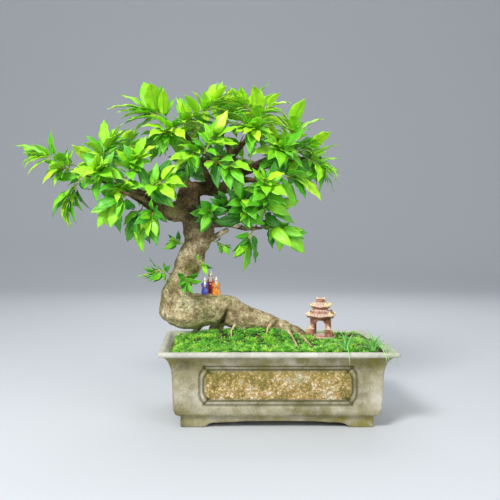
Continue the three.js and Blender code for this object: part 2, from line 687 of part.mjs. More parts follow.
// A glazed figure: a robe turned about its axis, sleeves joined at the front, a bearded head
function figureSolid(height, width) {
  const profile = [[0, -8], [0.5, -8], [0.5, 0.03 * height], [0.36, 0.42 * height],
    [0.37, 0.6 * height], [0.12, 0.7 * height], [0, 0.7 * height]];
  const robe = new THREE.LatheGeometry(profile.map(([r, z]) => new THREE.Vector2(r * width, z)), 7);
  const head = new THREE.SphereGeometry(0.1 * height, 6, 4);
  const knot = new THREE.ConeGeometry(0.055 * height, 0.17 * height, 4);
  const beard = new THREE.ConeGeometry(0.06 * height, 0.2 * height, 4);
  const parts = [
    solid(robe.rotateX(Math.PI / 2)),
    solid(head.rotateX(Math.PI / 2).translate(0, 0, 0.77 * height)),
    solid(knot.rotateX(Math.PI / 2).translate(0, 0.01 * height, 0.915 * height)),
    solid(beard.rotateX(-Math.PI / 2).translate(0, -0.09 * height, 0.65 * height)),
  ];
  // Shoulder, elbow and hand of a sleeve: shares of the width, width, height and width
  const arm = [[0.33, 0, 0.58, 0.13], [0.4, -0.2, 0.42, 0.15], [0.04, -0.44, 0.4, 0.13]];
  for (const side of [-1, 1]) {
    const sleeve = arm.map(([x, y, z, radius]) => (
      { point: new THREE.Vector3(side * x * width, y * width, z * height), radius: radius * width }));
    sleeve.forEach((place, i) => {
      const next = sleeve[Math.min(i + 1, 2)].point.clone().sub(sleeve[Math.max(i - 1, 0)].point);
      place.tangent = next.normalize();
    });
    parts.push(loft(sections(sleeve, 4, 0, 0)));
  }
  return wasm.Manifold.union(parts);
}

// A tuft of grass by the front wall: arching blades, flat above and keeled below, from one crown.
// Those at the front hang over the rim.
function tuftSolid(place, blades, seed) {
  const random = draws(seed);
  const crown = new THREE.CylinderGeometry(TUFT_CROWN_RADIUS, 3, 22, 5).rotateX(Math.PI / 2);
  const parts = [solid(crown)];
  for (let i = 0; i < blades; i += 1) {
    const heading = (i / blades) * Math.PI * 2 + 0.5 * random();
    const out = new THREE.Vector3(Math.cos(heading), Math.sin(heading), 0);
    const side = new THREE.Vector3(-out.y, out.x, 0);
    const overRim = Math.sin(heading) < -0.85;
    const length = overRim ? HANGING_BLADE_LENGTH : 42 + 24 * random();
    const lean = overRim ? 0.2 : 0.2 + 0.4 * random();
    const droop = overRim ? 3.3 : 0.9 + 0.6 * random();
    const at = (share, across, lift) => {
      const angle = lean + droop * share;
      const reach = length * share;
      return out.clone().multiplyScalar(3.4 + reach * Math.sin((lean + angle) / 2))
        .addScaledVector(UP, 4 + reach * Math.cos((lean + angle) / 2) + lift)
        .addScaledVector(side, across);
    };
    const rings = [0, 0.4, 0.72].map((share) => {
      const half = BLADE_HALF_WIDTH * (1 - 0.5 * share);
      return [at(share, half, 0.4), at(share, -half, 0.4), at(share, 0, -0.9)];
    });
    parts.push(loft(rings, at(1, 0, 0)));
  }
  return largest(wasm.Manifold.union(parts)).translate(place.toArray());
}

// Finishes
const CAST_STONE = { color: '#b3ad97', roughness: 0.9 };
const SOIL = { color: '#3a2d1e', roughness: 1 };
const BARK = { color: '#877a58', roughness: 0.9 };
const LEAF = { color: '#58a81e', roughness: 0.4 };
const FIRED_CLAY = { color: '#cfae9a', roughness: 0.85 };
const BLUE_GLAZE = { color: '#3c4388', roughness: 0.25 };
const RED_GLAZE = { color: '#a3202a', roughness: 0.25 };
const ORANGE_GLAZE = { color: '#d8801f', roughness: 0.25 };
const GRASS = { color: '#7cbf2e', roughness: 0.6 };

const bonsai = new THREE.Group();

function addPiece(name, body, finish) {
  const { vertProperties, triVerts } = body.getMesh();
  const geometry = new THREE.BufferGeometry();
  geometry.setAttribute('position', new THREE.BufferAttribute(vertProperties, 3));
  geometry.setIndex(new THREE.BufferAttribute(triVerts, 1));
  const mesh = new THREE.Mesh(geometry, new THREE.MeshStandardMaterial({ ...finish, metalness: 0 }));
  mesh.name = name;
  bonsai.add(mesh);
}

const twigList = twigs();
const leafList = foliage(twigList);
const grownBase = baseSolid(GAP + 0.1);
const turn = THREE.MathUtils.radToDeg(PAVILION_TURN);
const settle = (body) => body.rotate([0, 0, turn]).translate(PAVILION_PLACE.toArray());
const slabX = SLAB_HALF_X + GAP;
const slabY = SLAB_HALF_Y + GAP;
const tuftHole = new THREE.CylinderGeometry(TUFT_HOLE_RADIUS, TUFT_HOLE_RADIUS, 60, 6);
const holes = wasm.Manifold.union([
  grownBase,
  settle(block([-slabX, -slabY, -GAP], [slabX, slabY, 40])),
  solid(tuftHole.rotateX(Math.PI / 2)).translate(TUFT_PLACE.toArray()),
]);

addPiece('pot', potSolid(), CAST_STONE);
addPiece('soil', soilSolid(holes), SOIL);
addPiece('trunk', trunkSolid(twigList), BARK);
addPiece('pavilion', settle(pavilionSolid()), FIRED_CLAY);
FIGURES.forEach(([name, spot, height, width], i) => {
  const finish = [BLUE_GLAZE, RED_GLAZE, ORANGE_GLAZE][i];
  addPiece(name, largest(figureSolid(height, width).translate(spot).subtract(grownBase)), finish);
});
addPiece('grass_tuft', tuftSolid(TUFT_PLACE, 13, 11), GRASS);
twigList.forEach((twig, i) => {
  addPiece(`spray_${String(i + 1).padStart(2, '0')}`, spraySolid(twig, leafList[i]), LEAF);
});

// The zero point: under the middle of the whole object, on the surface that it stands on
const extent = new THREE.Box3().setFromObject(bonsai);
const middle = extent.getCenter(new THREE.Vector3());
bonsai.children.forEach((mesh) => mesh.geometry.translate(-middle.x, -middle.y, -extent.min.z));

export default bonsai;
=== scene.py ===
import math
import random

import bmesh
import bpy
import numpy as np
from mathutils import Matrix, Vector, noise
from mathutils.bvhtree import BVHTree


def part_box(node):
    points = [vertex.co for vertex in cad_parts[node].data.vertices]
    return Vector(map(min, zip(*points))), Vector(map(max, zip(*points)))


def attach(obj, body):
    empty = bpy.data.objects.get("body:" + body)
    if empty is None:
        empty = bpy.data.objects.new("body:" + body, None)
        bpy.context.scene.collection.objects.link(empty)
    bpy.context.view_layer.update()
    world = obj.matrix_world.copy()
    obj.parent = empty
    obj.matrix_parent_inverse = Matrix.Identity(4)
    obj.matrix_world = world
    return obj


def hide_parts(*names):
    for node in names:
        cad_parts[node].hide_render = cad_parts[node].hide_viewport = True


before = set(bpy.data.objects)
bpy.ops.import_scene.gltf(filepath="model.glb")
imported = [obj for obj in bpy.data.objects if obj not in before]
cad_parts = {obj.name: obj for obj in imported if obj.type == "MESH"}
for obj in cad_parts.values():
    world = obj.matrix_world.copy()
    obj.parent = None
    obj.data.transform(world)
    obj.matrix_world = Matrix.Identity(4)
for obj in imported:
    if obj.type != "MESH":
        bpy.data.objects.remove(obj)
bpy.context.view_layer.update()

# Camera. It stands level in front of the tree, a little left of the pot's middle and half a metre up,
# and its picture is shifted so that the tree and the pot fill it.
MM = 0.001
FOCAL_PIXELS = 675
PICTURE_PIXELS = 500
AXIS_PIXEL = (209, 234)
CAMERA_OFFSET = Vector((-175.5, -1880, 498)) * MM

pot_low, pot_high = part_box("pot")
pot_middle = Vector(((pot_low.x + pot_high.x) / 2, (pot_low.y + pot_high.y) / 2, 0))
camera_data = bpy.data.cameras.new("camera")
camera_data.lens = camera_data.sensor_width * FOCAL_PIXELS / PICTURE_PIXELS
camera_data.shift_x = 0.5 - AXIS_PIXEL[0] / PICTURE_PIXELS
camera_data.shift_y = AXIS_PIXEL[1] / PICTURE_PIXELS - 0.5
camera_data.dof.use_dof = False
camera = bpy.data.objects.new("camera", camera_data)
camera.location = pot_middle + CAMERA_OFFSET
camera.rotation_euler = (math.pi / 2, 0, 0)
bpy.context.scene.collection.objects.link(camera)
bpy.context.scene.camera = camera


# Pot. One piece of cast stone, cement with sand and stone dust, pressed into a mould and weathered
# outdoors: a heavy rim, leaning walls with a rough framed field on each side, and four feet.
MERGE_DISTANCE = 0.005 * MM
POT_VOXEL = 3.5 * MM
PANEL_LENGTH = 404 * MM
PANEL_END_LENGTH = 206 * MM
PANEL_BOTTOM = 61 * MM
PANEL_TOP = 164 * MM
PANEL_BAND = 12 * MM
BRACKET = Vector((11, 24)) * MM
BRACKET_STEPS = 6
GROOVE_WIDTH = 2.6 * MM
GROOVE_DEPTH = 1.6 * MM
GROOVE_INSET = 2 * MM
FIELD_EDGE = 5 * MM
FIELD_RISE = 3.2 * MM
FIELD_ROUGHNESS = 2.2 * MM
FIELD_LUMP = 11 * MM
SURFACE_LUMP = 9 * MM
SURFACE_LUMP_HEIGHT = 0.35 * MM
SURFACE_SWELL = 60 * MM
SURFACE_SWELL_HEIGHT = 0.5 * MM
SAND_GRAIN = 2.4 * MM
CHIP_SIZE = 6.3 * MM
ALGAE_PATCH = 36 * MM
FIELD_PATCH = 33 * MM
WEATHER_PATCH = 77 * MM
# Heights at which each of these is nil and at which it is full
RIM_ALGAE = (90 * MM, 180 * MM)
FOOT_ALGAE = (75 * MM, 20 * MM)
BELOW_RIM = (190 * MM, 186 * MM)
RIM_PALE = (184 * MM, 190 * MM)


def merged_copy(node):
    """A bmesh of a CAD node's mesh with its loose triangles joined."""
    bm = bmesh.new()
    bm.from_mesh(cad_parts[node].data)
    bmesh.ops.remove_doubles(bm, verts=bm.verts, dist=MERGE_DISTANCE)
    return bm


def new_piece(name, bm, material_slot, *nodes):
    """The bmesh as a shown piece on the one body, standing for its CAD nodes where it has any."""
    mesh = bpy.data.meshes.new(name)
    bm.to_mesh(mesh)
    bm.free()
    piece = bpy.data.objects.new(name, mesh)
    bpy.context.scene.collection.objects.link(piece)
    for polygon in mesh.polygons:
        polygon.use_smooth = True
    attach(piece, "root")
    if nodes:
        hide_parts(*nodes)
    return piece


def fuse(piece, voxel, rounds):
    """Rebuilds the piece as one even skin, which joins what crosses, and softens it."""
    remesh = piece.modifiers.new("remesh", "REMESH")
    remesh.mode = "VOXEL"
    remesh.voxel_size = voxel
    remesh.use_smooth_shade = True
    evaluated = piece.evaluated_get(bpy.context.evaluated_depsgraph_get())
    skin = bpy.data.meshes.new_from_object(evaluated)
    piece.modifiers.clear()
    bm = bmesh.new()
    bm.from_mesh(skin)
    for _ in range(rounds):
        bmesh.ops.smooth_vert(bm, verts=bm.verts, factor=0.5, use_axis_x=True, use_axis_y=True,
                              use_axis_z=True)
    bm.to_mesh(piece.data)
    bm.free()
    for polygon in piece.data.polygons:
        polygon.use_smooth = True


def points_of(piece):
    """The piece's points and their normals, as two arrays."""
    count = len(piece.data.vertices)
    places = np.empty(count * 3)
    piece.data.vertices.foreach_get("co", places)
    normals = np.empty(count * 3)
    piece.data.vertices.foreach_get("normal", normals)
    return places.reshape(-1, 3), normals.reshape(-1, 3)


def push(piece, places, normals, amounts):
    """Moves each point along its normal."""
    piece.data.vertices.foreach_set("co", (places + normals * amounts[:, None]).ravel())
    piece.data.update()


def mark(piece, name, values):
    """Stores a number for each point, which materials read."""
    layer = piece.data.attributes.new(name, "FLOAT", "POINT")
    layer.data.foreach_set("value", values.astype(np.float32))


def rough(places, size, octaves=3, seed=0):
    """Smooth random numbers from about -1 to 1 whose lumps are that size."""
    offset = Vector((seed * 7.3, seed * 3.1, seed * 5.7))
    return np.array([noise.fractal(Vector(p) / size + offset, 1.0, 2.0, octaves) for p in places])


def linear(colour):
    """An sRGB hex value as linear red, green, blue and alpha."""
    parts = [int(colour[i:i + 2], 16) / 255 for i in (1, 3, 5)]
    return [p / 12.92 if p <= 0.04045 else ((p + 0.055) / 1.055) ** 2.4 for p in parts] + [1]


def add(tree, kind, links=(), stops=(), **settings):
    """A new node with its settings, its ramp's stops, and its inputs' values or links."""
    made = tree.nodes.new(kind)
    for name, value in settings.items():
        setattr(made, name, value)
    for number, (place, colour) in enumerate(stops):
        elements = made.color_ramp.elements
        element = elements[number] if number < 2 else elements.new(place)
        element.position = place
        element.color = linear(colour)
    for name, value in dict(links).items():
        if isinstance(value, bpy.types.NodeSocket):
            tree.links.new(value, made.inputs[name])
        else:
            made.inputs[name].default_value = value
    return made


def new_material(name, **values):
    """A material whose shader has these values, with its tree and its shader."""
    made = bpy.data.materials.new(name)
    made.use_nodes = True
    shader = made.node_tree.nodes["Principled BSDF"]
    for key, value in values.items():
        shader.inputs[key.replace("_", " ")].default_value = value
    return made, made.node_tree, shader


def panel_outline(length, inset):
    """The line round a panel: straight sides, and corners that curve in like a bracket."""
    x = length / 2 - inset
    low = PANEL_BOTTOM + inset
    high = PANEL_TOP - inset
    corner = []
    for step in range(BRACKET_STEPS + 1):
        share = step / BRACKET_STEPS
        corner.append((x - BRACKET.x * math.sin(share * math.pi / 2) ** 2,
                       high - BRACKET.y * (1 - share)))
    corner.append((x - BRACKET.x * 1.6, high - BRACKET.y * 0.35))
    corner.append((x - BRACKET.x * 0.9, high - BRACKET.y * 0.2))
    corner.append((x - BRACKET.x * 0.9, high))
    half = [(px, low + high - pz) for px, pz in reversed(corner)] + corner
    return half + [(-px, pz) for px, pz in reversed(half)]


def distance_to(outline, spots):
    """The distance of each spot from a closed outline."""
    start = np.array(outline)
    run = np.roll(start, -1, axis=0) - start
    best = np.full(len(spots), np.inf)
    for origin, side in zip(start, run):
        share = np.clip((spots - origin) @ side / max(side @ side, 1e-12), 0, 1)
        best = np.minimum(best, np.linalg.norm(spots - origin - share[:, None] * side, axis=1))
    return best


pot = new_piece("pot_stone", merged_copy("pot"), "cast_stone", "pot")
fuse(pot, POT_VOXEL, 3)
places, normals = points_of(pot)
local = places - np.array(pot_middle)
groove = np.zeros(len(places))
field = np.zeros(len(places))
for along, across, length in ((0, 1, PANEL_LENGTH), (1, 0, PANEL_END_LENGTH)):
    spots = local[:, [along, 2]]
    outward = (normals[:, across] * np.sign(local[:, across]) > 0.6) & (local[:, 2] > PANEL_BOTTOM)
    outward &= (local[:, 2] < PANEL_TOP) & (np.abs(local[:, along]) < length / 2)
    outward &= np.abs(local[:, across]) > np.abs(local[:, across]).max() * 0.8
    for inset in (GROOVE_INSET, PANEL_BAND):
        line = distance_to(panel_outline(length, inset), spots)
        groove = np.maximum(groove, outward * np.exp(-(line / GROOVE_WIDTH) ** 2))
    inside = np.clip((length / 2 - PANEL_BAND - np.abs(spots[:, 0])) / FIELD_EDGE, 0, 1)
    inside *= np.clip((spots[:, 1] - PANEL_BOTTOM - PANEL_BAND) / FIELD_EDGE, 0, 1)
    inside *= np.clip((PANEL_TOP - PANEL_BAND - spots[:, 1]) / FIELD_EDGE, 0, 1)
    field = np.maximum(field, outward * inside)
relief = SURFACE_LUMP_HEIGHT * rough(places, SURFACE_LUMP)
relief += SURFACE_SWELL_HEIGHT * rough(places, SURFACE_SWELL, seed=1)
relief += field * (FIELD_RISE + FIELD_ROUGHNESS * rough(places, FIELD_LUMP, 4, seed=2))
push(pot, places, normals, relief - groove * GROOVE_DEPTH)
mark(pot, "groove", groove)
mark(pot, "field", field)

# Cast cement is matt and pale grey. Its sand shows as fine specks, drawn coarser than real sand so that
# they show at all. Algae turns it olive under the rim and at the foot, and the rough field keeps ochre
# and cream patches. The panels' grooves are painted dark olive as shade in their recesses.
pot_material, tree, shader = new_material("weathered_cast_stone", Roughness=0.92,
                                          Specular_IOR_Level=0.3)
spot = add(tree, "ShaderNodeTexCoord").outputs["Object"]
height = add(tree, "ShaderNodeSeparateXYZ", {"Vector": spot}).outputs["Z"]
sand = add(tree, "ShaderNodeTexNoise", {"Vector": spot, "Scale": 1 / SAND_GRAIN,
                                        "Detail": 3}).outputs["Fac"]
stains = add(tree, "ShaderNodeTexNoise", {"Vector": spot, "Scale": 1 / WEATHER_PATCH, "Detail": 5,
                                          "Roughness": 0.62}).outputs["Fac"]
patches = add(tree, "ShaderNodeTexNoise", {"Vector": spot, "Scale": 1 / FIELD_PATCH, "Detail": 5,
                                           "Roughness": 0.7}).outputs["Fac"]
chips = add(tree, "ShaderNodeTexNoise", {"Vector": spot, "Scale": 1 / CHIP_SIZE, "Detail": 5,
                                         "Roughness": 0.78, "Distortion": 0.35}).outputs["Fac"]
plain = add(tree, "ShaderNodeValToRGB", {"Fac": stains}, [
    (0.28, "#5f5c3e"), (0.42, "#8d866b"), (0.55, "#b4ad97"), (0.72, "#d4cfc0")])
ground = add(tree, "ShaderNodeValToRGB", {"Fac": patches}, [
    (0.36, "#5c5a2c"), (0.46, "#7d6f3e"), (0.54, "#a0803f"), (0.64, "#a8a080")])
chip_tone = add(tree, "ShaderNodeValToRGB", {"Fac": patches}, [
    (0.40, "#cba866"), (0.50, "#e4cf9a"), (0.60, "#ece4cc")])
chip_share = add(tree, "ShaderNodeMapRange", {"Value": chips, "From Min": 0.50, "From Max": 0.62})
chipped = add(tree, "ShaderNodeMix", {0: chip_share.outputs[0], 6: ground.outputs[0],
                                      7: chip_tone.outputs[0]}, data_type="RGBA")
field_socket = add(tree, "ShaderNodeAttribute", attribute_name="field").outputs["Fac"]
groove_shade_socket = add(tree, "ShaderNodeAttribute", attribute_name="groove").outputs["Fac"]
stone = add(tree, "ShaderNodeMix", {0: field_socket, 6: plain.outputs[0], 7: chipped.outputs[2]},
            data_type="RGBA")
rim_algae = add(tree, "ShaderNodeMapRange", {"Value": height, "From Min": RIM_ALGAE[0],
                                             "From Max": RIM_ALGAE[1]})
foot_algae = add(tree, "ShaderNodeMapRange", {"Value": height, "From Min": FOOT_ALGAE[0],
                                              "From Max": FOOT_ALGAE[1]})
algae_reach = add(tree, "ShaderNodeMath", {0: rim_algae.outputs[0], 1: foot_algae.outputs[0]},
                  operation="MAXIMUM")
algae_noise = add(tree, "ShaderNodeTexNoise", {"Vector": spot, "Scale": 1 / ALGAE_PATCH,
                                               "Detail": 4}).outputs["Fac"]
algae_share = add(tree, "ShaderNodeMapRange", {"Value": algae_noise, "From Min": 0.34,
                                               "From Max": 0.64, "To Max": 0.85})
below_rim = add(tree, "ShaderNodeMapRange", {"Value": height, "From Min": BELOW_RIM[0],
                                             "From Max": BELOW_RIM[1]})
algae = add(tree, "ShaderNodeMath", {0: algae_reach.outputs[0], 1: algae_share.outputs[0]},
            operation="MULTIPLY")
algae_low = add(tree, "ShaderNodeMath", {0: algae.outputs[0], 1: below_rim.outputs[0]},
                operation="MULTIPLY")
# The rim is drawn paler than the body below it.
on_rim = add(tree, "ShaderNodeMapRange", {"Value": height, "From Min": RIM_PALE[0],
                                          "From Max": RIM_PALE[1], "To Max": 0.55})
paler_rim = add(tree, "ShaderNodeMix", {0: on_rim.outputs[0], 6: stone.outputs[2],
                                     7: linear("#d3d4ca")}, data_type="RGBA")
green = add(tree, "ShaderNodeMix", {0: algae_low.outputs[0], 6: paler_rim.outputs[2],
                                    7: linear("#827b33")}, data_type="RGBA")
# Painted shade: the grooves are drawn dark olive.
groove_shaded = add(tree, "ShaderNodeMix", {0: groove_shade_socket, 6: green.outputs[2], 7: linear("#42421d")},
            data_type="RGBA")
speck = add(tree, "ShaderNodeMapRange", {"Value": sand, "From Min": 0.3, "From Max": 0.7,
                                         "To Min": 0.8, "To Max": 1.15})
speckled = add(tree, "ShaderNodeMix", {0: 1.0, 6: groove_shaded.outputs[2], 7: speck.outputs[0]},
               data_type="RGBA", blend_type="MULTIPLY")
tree.links.new(speckled.outputs[2], shader.inputs["Base Color"])
grit = add(tree, "ShaderNodeMath", {0: chips, 1: sand}, operation="ADD")
bump = add(tree, "ShaderNodeBump", {"Height": grit.outputs[0], "Distance": 1.2 * MM,
                                    "Strength": 0.6})
tree.links.new(bump.outputs[0], shader.inputs["Normal"])
pot.data.materials.append(pot_material)


# Soil. Dark damp granules of baked clay and humus, filled to just under the rim and mounded under the
# trunk.
SOIL_VOXEL = 3.6 * MM
SOIL_GRANULE = 3.8 * MM
SOIL_CLOD = 11 * MM
SOIL_LUMP = 8 * MM
SOIL_LUMP_HEIGHT = 1.6 * MM
SOIL_SINK = 0.4 * MM
MOUND_HEIGHT = 20 * MM
MOUND_ENDS = (-205 * MM, 10 * MM)
MOUND_HALF_WIDTH = 52 * MM


def skin_of(piece):
    """The piece's surface as it is now, to cast rays at and to measure from."""
    return BVHTree.FromPolygons([v.co for v in piece.data.vertices],
                                [p.vertices for p in piece.data.polygons])


soil = new_piece("potting_soil", merged_copy("soil"), "soil", "soil")
fuse(soil, SOIL_VOXEL, 1)
places, normals = points_of(soil)
upward = np.clip(normals[:, 2], 0, 1)
local = places - np.array(pot_middle)
past_end = np.maximum(0, np.maximum(MOUND_ENDS[0] - local[:, 0], local[:, 0] - MOUND_ENDS[1]))
mound = MOUND_HEIGHT * np.exp(-(past_end ** 2 + local[:, 1] ** 2) / MOUND_HALF_WIDTH ** 2)
lumps = SOIL_LUMP_HEIGHT * rough(places, SOIL_LUMP, 3) - SOIL_SINK
push(soil, places, normals, upward * (lumps + mound))
soil_skin = skin_of(soil)

# Baked clay granules look matt and dark while they are damp, with paler dry crumbs here and there.
soil_material, tree, shader = new_material("damp_potting_soil", Roughness=0.95)
spot = add(tree, "ShaderNodeTexCoord").outputs["Object"]
grains = add(tree, "ShaderNodeTexVoronoi", {"Vector": spot, "Scale": 1 / SOIL_GRANULE})
crumbs = add(tree, "ShaderNodeTexNoise", {"Vector": spot, "Scale": 1 / SOIL_CLOD,
                                          "Detail": 5}).outputs["Fac"]
earth = add(tree, "ShaderNodeValToRGB", {"Fac": crumbs}, [
    (0.32, "#1f170e"), (0.48, "#3f2e1c"), (0.60, "#67503a"), (0.74, "#8d7456")])
tree.links.new(earth.outputs[0], shader.inputs["Base Color"])
bump = add(tree, "ShaderNodeBump", {"Height": grains.outputs["Distance"], "Distance": 2 * MM})
tree.links.new(bump.outputs[0], shader.inputs["Normal"])
soil.data.materials.append(soil_material)


# Trunk. One living piece of wood: the thick sloping base with its roots, the rise with its swellings,
# the limbs and the twigs. A pruned stub stands out on the right of the rise.
TRUNK_VOXEL = 2.4 * MM
STUB_FOOT = Vector((-172, -16, 484)) * MM
STUB_END = Vector((-122, -34, 511)) * MM
STUB_RADIUS = 7 * MM
BARK_SPECK = 5.9 * MM
BARK_MOTTLE = 33 * MM
BARK_ALGAE_PATCH = 59 * MM
CREASE_TOP = Vector((-113, 312)) * MM
CREASE_FOOT = Vector((-146, 228)) * MM
CREASE_WIDTH = 7 * MM
CREASE_DEPTH = 8 * MM
CREASE_BACK = 15 * MM
BARK_LUMP = 38 * MM
BARK_LUMP_HEIGHT = 3 * MM
BARK_WRINKLE = 9 * MM
BARK_WRINKLE_HEIGHT = 0.9 * MM
THINNEST = 4 * MM
THICKEST = 60 * MM
# Heights at which the crown's dark wood with its painted shade and the thin roots' tan are nil and at
# which they are full
CROWN_WOOD_AND_SHADE = (360 * MM, 600 * MM)
ROOT_WOOD = (270 * MM, 240 * MM)


def add_rod(bm, start, end, radius_start, radius_end, segments=8):
    """A closed round rod between two points."""
    run = end - start
    turn = Vector((0, 0, 1)).rotation_difference(run).to_matrix().to_4x4()
    matrix = Matrix.Translation((start + end) / 2) @ turn
    return bmesh.ops.create_cone(bm, cap_ends=True, segments=segments, radius1=radius_start,
                                 radius2=radius_end, depth=run.length, matrix=matrix)["verts"]


trunk_bm = merged_copy("trunk")
add_rod(trunk_bm, pot_middle + STUB_FOOT, pot_middle + STUB_END, STUB_RADIUS * 1.25, STUB_RADIUS, 12)
trunk = new_piece("fig_trunk", trunk_bm, "bark", "trunk")
fuse(trunk, TRUNK_VOXEL, 4)
places, normals = points_of(trunk)
skin = skin_of(trunk)
thickness = np.empty(len(places))
for number, (place, normal) in enumerate(zip(places, normals)):
    inward = -Vector(normal)
    hit = skin.ray_cast(Vector(place) + inward * 0.2 * MM, inward)[3]
    thickness[number] = hit or THINNEST
local = places - np.array(pot_middle)
line = np.array(CREASE_FOOT - CREASE_TOP)
share = np.clip((local[:, [0, 2]] - np.array(CREASE_TOP)) @ line / (line @ line), 0, 1)
beside = np.linalg.norm(local[:, [0, 2]] - np.array(CREASE_TOP) - share[:, None] * line, axis=1)
crease = np.exp(-(beside / CREASE_WIDTH) ** 2) * np.clip(share * 3, 0, 1)
crease *= local[:, 1] < CREASE_BACK
lumps = rough(places, BARK_LUMP, 2, seed=3) * np.minimum(thickness * 0.05, BARK_LUMP_HEIGHT)
wrinkles = rough(places * np.array([1, 1, 1.8]), BARK_WRINKLE, 3, seed=4)
wrinkles *= np.minimum(thickness * 0.03, BARK_WRINKLE_HEIGHT)
push(trunk, places, normals, lumps + wrinkles - crease * CREASE_DEPTH)
mark(trunk, "crease", crease)
stub_line = np.array(STUB_END - STUB_FOOT)
past = (local - np.array(STUB_FOOT)) @ stub_line / (stub_line @ stub_line)
off_stub = np.linalg.norm(local - np.array(STUB_FOOT) - past[:, None] * stub_line, axis=1)
mark(trunk, "pruned", (off_stub < STUB_RADIUS * 1.6) * np.clip((past - 0.3) * 3, 0, 1))
mark(trunk, "thick", np.clip(thickness / THICKEST, 0, 1))

# Fig bark is thin, matt and grey-brown, with pale and dark specks that are drawn a little coarse so
# that they show. Algae greens it in patches, the limbs inside the crown are dark brown, partly their
# own younger bark and partly painted shade under the leaves, and thin roots are tan.
bark_material, tree, shader = new_material("fig_bark", Roughness=0.88, Specular_IOR_Level=0.3)
spot = add(tree, "ShaderNodeTexCoord").outputs["Object"]
height = add(tree, "ShaderNodeSeparateXYZ", {"Vector": spot}).outputs["Z"]
mottle = add(tree, "ShaderNodeTexNoise", {"Vector": spot, "Scale": 1 / BARK_MOTTLE, "Detail": 6,
                                          "Roughness": 0.65}).outputs["Fac"]
specks = add(tree, "ShaderNodeTexNoise", {"Vector": spot, "Scale": 1 / BARK_SPECK, "Detail": 3,
                                          "Roughness": 0.8}).outputs["Fac"]
base_tone = add(tree, "ShaderNodeValToRGB", {"Fac": mottle}, [
    (0.30, "#5f5036"), (0.43, "#8c7b58"), (0.54, "#b3a37e"), (0.68, "#d6cba9")])
# Dark brown for the limbs inside the crown: partly their own bark, partly painted shade under the
# leaves.
crown_wood_and_shade_tone = add(tree, "ShaderNodeValToRGB", {"Fac": mottle}, [
    (0.32, "#2c2114"), (0.48, "#4d3c25"), (0.62, "#6f5a38")])
crown_shade_share = add(tree, "ShaderNodeMapRange", {"Value": height, "From Min": CROWN_WOOD_AND_SHADE[0],
                                         "From Max": CROWN_WOOD_AND_SHADE[1]})
wood = add(tree, "ShaderNodeMix", {0: crown_shade_share.outputs[0], 6: base_tone.outputs[0],
                                   7: crown_wood_and_shade_tone.outputs[0]}, data_type="RGBA")
thick_socket = add(tree, "ShaderNodeAttribute", attribute_name="thick").outputs["Fac"]
thin = add(tree, "ShaderNodeMapRange", {"Value": thick_socket, "From Min": 0.34, "From Max": 0.14})
low = add(tree, "ShaderNodeMapRange", {"Value": height, "From Min": ROOT_WOOD[0],
                                       "From Max": ROOT_WOOD[1]})
thin_root = add(tree, "ShaderNodeMath", {0: thin.outputs[0], 1: low.outputs[0]}, operation="MULTIPLY")
rooted = add(tree, "ShaderNodeMix", {0: thin_root.outputs[0], 6: wood.outputs[2],
                                     7: linear("#d6bc8e")}, data_type="RGBA")
algae_noise = add(tree, "ShaderNodeTexNoise", {"Vector": spot, "Scale": 1 / BARK_ALGAE_PATCH,
                                               "Detail": 5}).outputs["Fac"]
algae = add(tree, "ShaderNodeMapRange", {"Value": algae_noise, "From Min": 0.50, "From Max": 0.66,
                                         "To Max": 0.5})
mossy = add(tree, "ShaderNodeMix", {0: algae.outputs[0], 6: rooted.outputs[2], 7: linear("#68702c")},
            data_type="RGBA")
pruned_socket = add(tree, "ShaderNodeAttribute", attribute_name="pruned").outputs["Fac"]
cut = add(tree, "ShaderNodeMix", {0: pruned_socket, 6: mossy.outputs[2], 7: linear("#b7a68a")},
          data_type="RGBA")
# Painted shade: the crease is drawn dark olive in its hollow.
crease_shade_socket = add(tree, "ShaderNodeAttribute", attribute_name="crease").outputs["Fac"]
shaded = add(tree, "ShaderNodeMix", {0: crease_shade_socket, 6: cut.outputs[2], 7: linear("#3d381c")},
             data_type="RGBA")
speck = add(tree, "ShaderNodeMapRange", {"Value": specks, "From Min": 0.32, "From Max": 0.68,
                                         "To Min": 0.35, "To Max": 1.6})
bark_colour = add(tree, "ShaderNodeMix", {0: 1.0, 6: shaded.outputs[2], 7: speck.outputs[0]},
                  data_type="RGBA", blend_type="MULTIPLY")
tree.links.new(bark_colour.outputs[2], shader.inputs["Base Color"])
grain = add(tree, "ShaderNodeMath", {0: mottle, 1: specks}, operation="ADD")
bump = add(tree, "ShaderNodeBump", {"Height": grain.outputs[0], "Distance": 1.5 * MM,
                                    "Strength": 0.7})
tree.links.new(bump.outputs[0], shader.inputs["Normal"])
trunk.data.materials.append(bark_material)


# Leaves. Thick glossy fig leaves with a drawn-out tip stand round each green shoot on short stalks.
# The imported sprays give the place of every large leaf, and smaller ones fill in between them.
SECTION_SHARES = (0.36, 0.70)
STALK_SHARE = 0.13
LEAF_THICKNESS = 0.5 * MM
LEAF_CUTS = (10, 4)
LEAF_SLIMNESS = 0.9
FILLERS = 2.8
SHOOT_RADIUS = 1.7 * MM
LEAF_BLOTCH = 18 * MM
SHOOT_FLUSH = 45 * MM
SIDE_VEINS = 11
FILLER_LENGTH = (0.45, 0.9)
FILLER_TRIES = 14
TURN_STEP = 2.4
SHOOT_FOOT_EDGE = (4.9 * MM, 5.15 * MM)
SHORTEST_TIP = 8 * MM
WIDEST_BODY = 0.347
STALK_SHARES = (0, STALK_SHARE * 0.6, STALK_SHARE, 0.45, 0.9)
STALK_LIFTS = (0, 0, -0.7 * MM, -0.9 * MM, -0.5 * MM)
STALK_RADII = (1.1 * MM, 0.95 * MM, 0.85 * MM, 0.6 * MM, 0.25 * MM)
CROWN_MIDDLE = pot_middle + Vector((-190, 10, 640)) * MM
CROWN_HALF = Vector((390, 170, 200)) * MM
spray_names = sorted(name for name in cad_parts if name.startswith("spray"))
